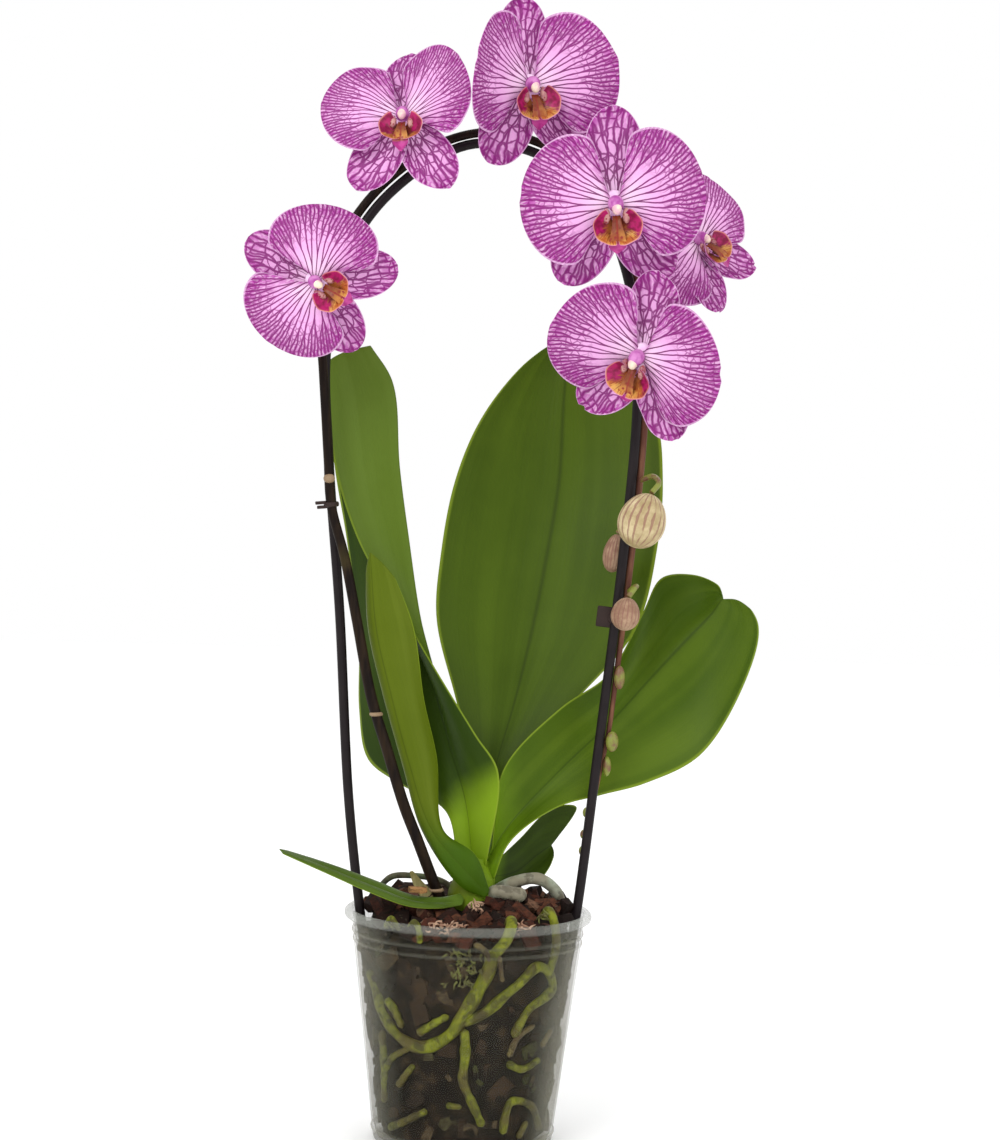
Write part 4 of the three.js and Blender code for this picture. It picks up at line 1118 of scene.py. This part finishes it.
def makeBark():
    draws = random.Random(4)
    paths = [wallPath(first, last, places) for first, last, dark, places in wallRoots]
    rootSpots = [path.along(i / 12) for path in paths for i in range(13)]
    gap = bark["gap"]
    profile = [(0.0, bark["bottom"]), (potOuter(2) - gap - 3, bark["bottom"])]
    profile += [(potOuter(z) - gap, z) for z in range(5, 98, 3)]
    profile += [(r, moundHeight(r) - 1.5) for r in (46, 40, 33, 26, 19, 12, 5, 0)]
    core = latheRound("barkCore", profile, 120)

    def lumpy(point):
        radius = math.hypot(point.x, point.y)
        if radius < 1:
            return point
        turn = math.atan2(point.y, point.x)
        lump = math.sin(turn * 9 + point.z * 0.21) + math.sin(turn * 17 - point.z * 0.37) * 0.7
        out = 0.7 * lump * min(1, radius / 20)
        heap = rise(point.z, 96, 103) * (0.5 * lump + bark["heap"] * rise(point.y, -34, 2))
        return point + Vector((point.x, point.y, 0)) / radius * out + Vector((0, 0, heap))

    reshape(core, lumpy)
    dress(core, barkFinish())
    seeds = [chipSeed(draws, 3 + i % 2) for i in range(6)]
    small = chipFinish("barkGrain", [
        (0.0, (0.008, 0.005, 0.003)), (0.4, (0.022, 0.013, 0.007)), (0.7, (0.045, 0.026, 0.012)),
        (0.9, (0.085, 0.062, 0.032)), (0.97, (0.045, 0.050, 0.014))])
    large = chipFinish("barkChips", [
        (0.0, (0.008, 0.004, 0.003)), (0.4, (0.028, 0.009, 0.005)), (0.75, (0.085, 0.023, 0.012)),
        (0.92, (0.12, 0.045, 0.022)), (0.99, (0.26, 0.16, 0.10))])
    chips = []
    for i in range(bark["wallChips"]):
        turn = draws.uniform(0, 2 * math.pi)
        height = draws.uniform(9, 98)
        size = draws.choice(bark["wallSizes"])
        reach = innerWall(height) - bark["wallRoom"] - 1.2 * size - draws.uniform(0, 1)
        outwards = Matrix.Rotation(turn, 4, "Z") @ Matrix.Rotation(math.pi / 2, 4, "Y")
        at = Vector((math.cos(turn) * reach, math.sin(turn) * reach, height)) * mm
        if min((at / mm - spot).length for spot in rootSpots) < bark["rootRoom"] + chipHalf[1] * size:
            continue
        change = Matrix.Translation(at) @ outwards @ turned(draws, 0.25) @ Matrix.Scale(size, 4)
        chips.append(copyOf(draws.choice(seeds), change, (draws.random(), draws.random())))
    for chip in chips:
        dress(chip, small)
    top = []
    for i in range(bark["topChips"]):
        turn = draws.uniform(0, 2 * math.pi)
        radius = bark["topReach"] * math.sqrt(draws.random())
        if radius < bark["crownGap"]:
            continue
        size = draws.uniform(*bark["topSizes"])
        height = moundHeight(radius) - 0.5 + draws.uniform(-0.5, 2.6)
        height += bark["heap"] * rise(math.sin(turn) * radius, -34, 2)
        at = Vector((math.cos(turn) * radius, math.sin(turn) * radius, height)) * mm
        change = Matrix.Translation(at) @ turned(draws, 0.9) @ Matrix.Scale(size, 4)
        top.append(copyOf(draws.choice(seeds), change, (draws.random(), draws.random())))
    for chip in top:
        dress(chip, large)
    loose = copyOf(seeds[0], Matrix.Identity(4), (0.75, 0.6))
    box = looseChip["size"]
    lean = Matrix.Rotation(looseChip["turn"], 4, "Z") @ Matrix.Rotation(looseChip["lean"], 4, "X")
    low, high = ([end(point.co[axis] for point in loose.data.vertices) / mm for axis in range(3)]
                 for end in (min, max))

    def fitted(point):
        inBox = [(p - (a + b) / 2) * size / (b - a) for p, a, b, size in zip(point, low, high, box)]
        return lean @ Vector(inBox) + Vector(looseChip["at"])

    reshape(loose, fitted)
    dress(loose, chipFinish("looseBark", [(0.0, (0.30, 0.14, 0.045)), (1.0, (0.42, 0.22, 0.08))]))
    loose.name = "barkChip"
    for seed in seeds:
        bpy.data.objects.remove(seed)
    settle(join([core] + chips + top, "substrate"), "substrate", slot="bark")
    settle(loose, "bark_chip", slot="chip")


def rootFinish(name, first, second, mark):
    finish = Finish(name, Roughness=0.6, Specular_IOR_Level=0.25)
    where = finish.place()
    patch = finish.noise(where, 45, 3, 0.6)
    grain = finish.noise(where, 320, 3)
    tone = finish.blend(grain.rise(0.35, 0.65), first, second)
    tone = finish.blend(patch.rise(0.46, 0.62) * 0.85, tone, mark)
    dirt = finish.noise(where, 150, 4, 0.6)
    tone = finish.blend(dirt.rise(0.50, 0.60) * 0.65, tone, tuple(c * 0.35 for c in mark))
    finish.feed(Base_Color=tone)
    finish.bump(grain + patch, 0.3)
    return finish.material


def roundEnds(radius, last, length, uneven=0.0):  # narrows a rod to a dome at both its ends
    def at(t):
        swell = 0.6 * math.sin(t * 23 + radius * 9) + 0.4 * math.sin(t * 51 + radius * 4)
        base = mix(radius, last, t) * (1 + uneven * swell)
        edge = min(t, 1 - t) * length / base
        return base * math.sqrt(max(0.02, 1 - (1 - min(1.0, edge)) ** 2))
    return at


def makeRoots():
    green = rootFinish("rootSkin", (0.185, 0.205, 0.008), (0.10, 0.112, 0.005), (0.078, 0.058, 0.016))
    brown = rootFinish("rootOld", (0.15, 0.12, 0.04), (0.10, 0.07, 0.025), (0.05, 0.03, 0.015))
    parts = []
    for first, last, dark, places in wallRoots:
        path = wallPath(first, last, places)
        steps = max(12, int(path.length / 1.2))
        parts.append(tube("root", path, steps, roundEnds(first, last, path.length, 0.16), 5))
        dress(parts[-1], brown if dark else green)
    for radius, points in feeders:
        path = Path(points)
        parts.append(tube("feeder", path, 50, roundEnds(radius, radius, path.length), 5))
        dress(parts[-1], green)
    foot = ball("foot", rootFoot["at"], rootFoot["radii"])
    dress(foot, brown)
    settle(join(parts + [foot], "potRoots"), "roots", slot="root")
    tones = {
        "silver": rootFinish("rootSilver", (0.36, 0.39, 0.30), (0.25, 0.28, 0.20), (0.22, 0.19, 0.13)),
        "dark": rootFinish("rootThin", (0.09, 0.11, 0.05), (0.05, 0.06, 0.03), (0.10, 0.07, 0.04)),
    }
    for node, root in aerialRoots.items():
        path = Path(root["path"])
        ends = roundEnds(root["radius"], root["radius"], path.length, 0.04)
        rod = tube(node.replace("_", ""), path, 80, ends, 7)
        dress(rod, tones[root["tone"]])
        settle(rod, node, slot="silver_root")


def crownFinish():
    finish = Finish("crownSkin", Roughness=0.5, Specular_IOR_Level=0.1)
    where = finish.place()
    fibre = finish.fibres(0.12, 260)
    patch = finish.noise(where, 60)
    tone = finish.blend(fibre.rise(0.35, 0.65) * 0.6, (0.13, 0.22, 0.008), (0.18, 0.28, 0.012))
    across = finish.axis(where, 0) + patch * 0.006
    finish.feed(Base_Color=finish.blend(1 - across.rise(-0.004, 0.008), tone, (0.095, 0.130, 0.005)))
    finish.bump(fibre, 0.4)
    return finish.material


def makeCrown():
    skin = crownFinish()
    path = Path(crown["path"])
    radii = crown["radii"]

    def radiusAt(t):
        row = t * (len(radii) - 1)
        low = min(int(row), len(radii) - 2)
        return mix(radii[low], radii[low + 1], rise(row - low))

    body = tube("crownBody", path, 60, radiusAt, 12)

    def ridged(point):
        turn = math.atan2(point.y - 1, point.x - 2)
        return point + Vector((math.cos(turn), math.sin(turn), 0)) * 0.25 * math.sin(turn * crown["ridges"])

    reshape(body, ridged)
    dress(body, skin)
    settle(body, "crown", slot="crown")
    line = Path(bract["path"])

    def husk(u, v):
        half = bract["halfWidth"] * (1 - 0.8 * v * v)
        return line.along(v) + Vector((u * half, -0.8 * u * u, 0.4 * u * half))

    leaf = sheet("bract", husk, 8, 14, bract["thick"], 0.6)
    dry = twoTone("bractSkin", (0.20, 0.17, 0.05), (0.34, 0.30, 0.12), 300, 3, (0.35, 0.65),
                  squeeze=0.2, Roughness=0.6)
    dress(leaf, dry, dry)
    outward(leaf, merge=False)
    settle(leaf, "bract", slot="crown")


def makeMoss():
    draws = random.Random(9)
    skins = [twoTone(name, first, second, 300, 3, (0.4, 0.6), 0.5, Roughness=0.9) for name, first, second in (
        ("mossTan", (0.46, 0.30, 0.20), (0.30, 0.16, 0.10)),
        ("mossGreen", (0.13, 0.14, 0.03), (0.08, 0.07, 0.02)))]
    strands = []
    for middle, half, count, which in mossClumps:
        for i in range(count):
            aside = [max(-1, min(1, draws.gauss(0, mossStrand["spread"]))) * h for h in half]
            start = Vector([m + a for m, a in zip(middle, aside)])
            heading = Vector([draws.uniform(-1, 1) * (h / max(half)) ** 0.5 for h in half]).normalized()
            bend = Vector([draws.uniform(-1, 1) * (h / max(half)) ** 0.5 for h in half]) * mossStrand["bend"]
            reach = draws.uniform(*mossStrand["reach"])
            points = [start, start + heading * reach * 0.5 + bend, start + heading * reach]
            limit = innerWall(min(105, start.z)) - 1.5
            for point in points:
                radius = math.hypot(point.x, point.y)
                if radius > limit:
                    point.xy = point.xy * (limit / radius)
            strands.append(tube("strand", Path(points), 5, lambda t: mossStrand["radius"] * (1.15 - t), 1))
            dress(strands[-1], skins[which])
    settle(join(strands, "moss"), slot="bark")


makeTies()
makeBark()
makeRoots()
makeCrown()
makeMoss()
print("ties, bark, roots and crown ready")


# Leaves

leaves = {
    "leaf_tall": {
        "thick": 2.0, "arch": 3, "rails": [
            [(3, 8, 129), (3, 14, 168), (-9, 22, 211), (-20, 32, 250), (-19, 40, 281), (-13, 46, 318),
             (-1, 52, 349), (18, 57, 375), (36, 60, 390)],
            [(5, 10, 129), (10, 20, 173), (20, 30, 211), (28, 38, 248), (34, 44, 283), (39, 50, 319),
             (40, 55, 354), (41, 59, 380), (41, 61, 393)],
            [(8, 8, 129), (17, 14, 169), (46, 22, 208), (78, 20, 248), (88, 26, 290), (90, 36, 322),
             (86, 46, 352), (67, 55, 379), (48, 60, 392)]]},
    "leaf_right": {
        "thick": 2.0, "arch": 3, "rails": [
            [(11, 0, 141), (15, 2, 180), (42, 10, 210), (65, 20, 226), (82, 38, 256), (91, 44, 273),
             (107, 42, 275), (118, 36, 271), (120, 33, 268)],
            [(7, 2, 133), (18, 6, 151), (43, 14, 179), (68, 20, 204), (86, 26, 224), (105, 30, 245),
             (116, 31, 257), (120, 31, 263), (121, 31, 264)],
            [(12, -4, 127), (19, -6, 146), (41, 1, 162), (63, 8, 168), (85, 12, 174), (112, 14, 189),
             (134, 16, 230), (138, 20, 252), (131, 26, 265)]]},
    "leaf_left": {
        "thick": 2.0, "arch": 3, "rails": [
            [(8, -4, 133), (13, -3.5, 179), (1.5, -2.5, 197), (-17, 0, 225), (-37, 4, 256), (-56, 8, 284),
             (-69, 8, 318), (-75.5, 10, 352), (-77, 12, 378)],
            [(2, 4, 129), (-3, 8, 164), (-11, 12, 192), (-19, 16, 222), (-27, 17, 252), (-33.5, 16, 290),
             (-39, 15, 326), (-43.1, 14, 366.5), (-54.5, 13.5, 383.5)],
            [(-6, 0, 134), (-12, 6, 158), (-35, 20, 169), (-52, 30, 180), (-57, 34, 204), (-58, 34, 238),
             (-65, 30, 288), (-72, 24, 327), (-75, 16, 379)]]},
    "leaf_front": {
        "thick": 1.6, "arch": 1.5, "rails": [
            [(10, -11, 123), (2.5, -13.5, 141), (-13, -8, 151), (-17, -1, 185), (-24, 0, 213), (-30, 1, 248),
             (-41, 0, 275)],
            [(9.5, -12, 121), (-1, -15.5, 132), (-19, -10, 152), (-30, -8, 182), (-40, -7, 216),
             (-48, -5, 247), (-52, -2, 284)],
            [(8, -12.5, 119.5), (-4, -15, 125), (-24, -8, 152), (-32, -3, 180), (-44, -1, 217), (-52, 0, 247),
             (-54, 0, 277)]]},
    "leaf_small": {
        "thick": 1.8, "arch": 1.5, "rails": [
            [(10, 12, 131), (24, 20, 144), (40, 28, 159), (52, 32, 159), (44, 30, 145)],
            [(9, 10, 126), (22, 16, 128), (32, 24, 135), (38, 28, 139), (40, 29, 140)],
            [(9, 6, 120), (21, 10, 121), (34, 14, 125), (39, 20, 130), (42, 26, 137)]]},
    "leaf_low": {
        "thick": 1.6, "arch": 0.8, "rails": [
            [(-3, -9, 121), (-14, -18, 120), (-28, -19, 121), (-43, -21, 127), (-64, -26, 135),
             (-87, -34, 143)],
            [(-2, -12, 118), (-13, -22, 117.5), (-26, -25, 118.5), (-44, -28, 125), (-66, -33, 134),
             (-90, -37, 144)],
            [(-3, -15, 116), (-14, -27, 116), (-28, -30, 117), (-47, -34, 124), (-67, -38, 133),
             (-88, -39, 142)]]},
}
leafTones = {  # base, blade and streak on the front face, then on the back face
    "leaf_tall": (((0.10, 0.17, 0.006), (0.038, 0.070, 0.001), (0.062, 0.106, 0.004)),) * 2,
    "leaf_right": (((0.14, 0.25, 0.008), (0.038, 0.078, 0.001), (0.076, 0.128, 0.006)),) * 2,
    # leaf_left's back face is its darker upper side, deepened with painted shade where the blade turns away
    "leaf_left": (((0.13, 0.22, 0.008), (0.082, 0.134, 0.010), (0.104, 0.165, 0.020)),
                  ((0.17, 0.28, 0.008), (0.018, 0.040, 0.001), (0.030, 0.060, 0.002))),
    "leaf_front": (((0.040, 0.090, 0.001), (0.076, 0.112, 0.001), (0.100, 0.140, 0.006)),) * 2,
    "leaf_small": (((0.10, 0.18, 0.006), (0.024, 0.044, 0.002), (0.042, 0.075, 0.004)),) * 2,
    "leaf_low": (((0.10, 0.17, 0.02), (0.042, 0.082, 0.004), (0.072, 0.120, 0.014)),) * 2,
}
# Where the base tone ends, and on a folded blade where its shaded part ends.
leafFades = {"leaf_left": (0.08, 0.18, 0.34, 0.56), "leaf_front": (0.22, 0.42)}
leafCorners = {
    "leaf_tall": 0.05, "leaf_right": 0.055, "leaf_left": 0.02, "leaf_front": 0.02, "leaf_small": 0.07}
leafSlots = {"leaf_left": "leaf_light", "leaf_low": "leaf_light", "leaf_front": "leaf_olive"}


def leafSurface(leaf, corner):
    first, rib, second = (Path(rail) for rail in leaf["rails"])

    def surface(u, v):
        v -= corner * abs(u) ** 4 * rise(v, 0.8, 1)
        ahead = rib.at(min(1.0, v + 0.01)) - rib.at(max(0.0, v - 0.01))
        middle = rib.at(v)
        reach = (first if u < 0 else second).at(v) - middle
        swell = reach.cross(ahead).normalized() * (1 if u < 0 else -1)
        share = abs(u)
        return middle + reach * share + swell * leaf["arch"] * 4 * share * (1 - share) * math.sin(math.pi * v)
    return surface


def leafFinish(name, tones, fade):
    base, blade, streak = tones
    finish = Finish(name, Specular_IOR_Level=0.1)
    where = finish.place()
    u, v = finish.uv("shape")
    middle = ((u - 0.5) * 2).sum("ABSOLUTE")
    wander = finish.noise(where, 30, 4) - 0.5
    lines = finish.noise(finish.pair(u * 70, v * 2.5), 1.0, 3, 0.6)
    cloud = finish.noise(where, 14, 4, 0.6)
    bands = finish.noise(finish.pair(u * 6, v * 0.8), 1.0, 2).rise(0.40, 0.62)
    body = finish.blend(cloud.rise(0.32, 0.66) * 0.45 + bands * 0.45 + lines * 0.25, blade, streak)
    body = finish.blend(1 - (v + wander * 0.06).rise(*fade[:2]), body, base)
    if len(fade) > 2:  # the folded lower part lies in its own shade
        dark = (v + wander * 0.1).rise(fade[1], fade[1] + 0.06) * (1 - (v + wander * 0.1).rise(*fade[2:]))
        body = finish.blend(dark * 0.65, body, (0.020, 0.042, 0.002))
    body = finish.blend((1 - middle.rise(0.0, 0.035)) * 0.6, body, tuple(c * 0.55 for c in blade))
    # painted highlight: a paler band along both margins, where the thin edge catches the light
    body = finish.blend(middle.rise(0.955, 0.985) * 0.7, body, (0.20, 0.28, 0.02))
    finish.feed(Base_Color=body, Roughness=cloud * 0.2 + 0.3)
    finish.bump(lines * 0.5 + cloud, 0.25)
    return finish.material


def makeLeaves():
    for node, leaf in leaves.items():
        front, back = leafTones[node]
        surface = leafSurface(leaf, leafCorners.get(node, 0))
        piece = sheet(node.replace("_", ""), surface, 20, 56, leaf["thick"], 0.6)
        fade = leafFades.get(node, (0.06, 0.18))
        dress(piece, leafFinish(node + "Front", front, fade), leafFinish(node + "Back", back, fade))
        outward(piece, merge=False)
        settle(piece, node, slot=leafSlots.get(node, "leaf"))


makeLeaves()
print("leaves ready")
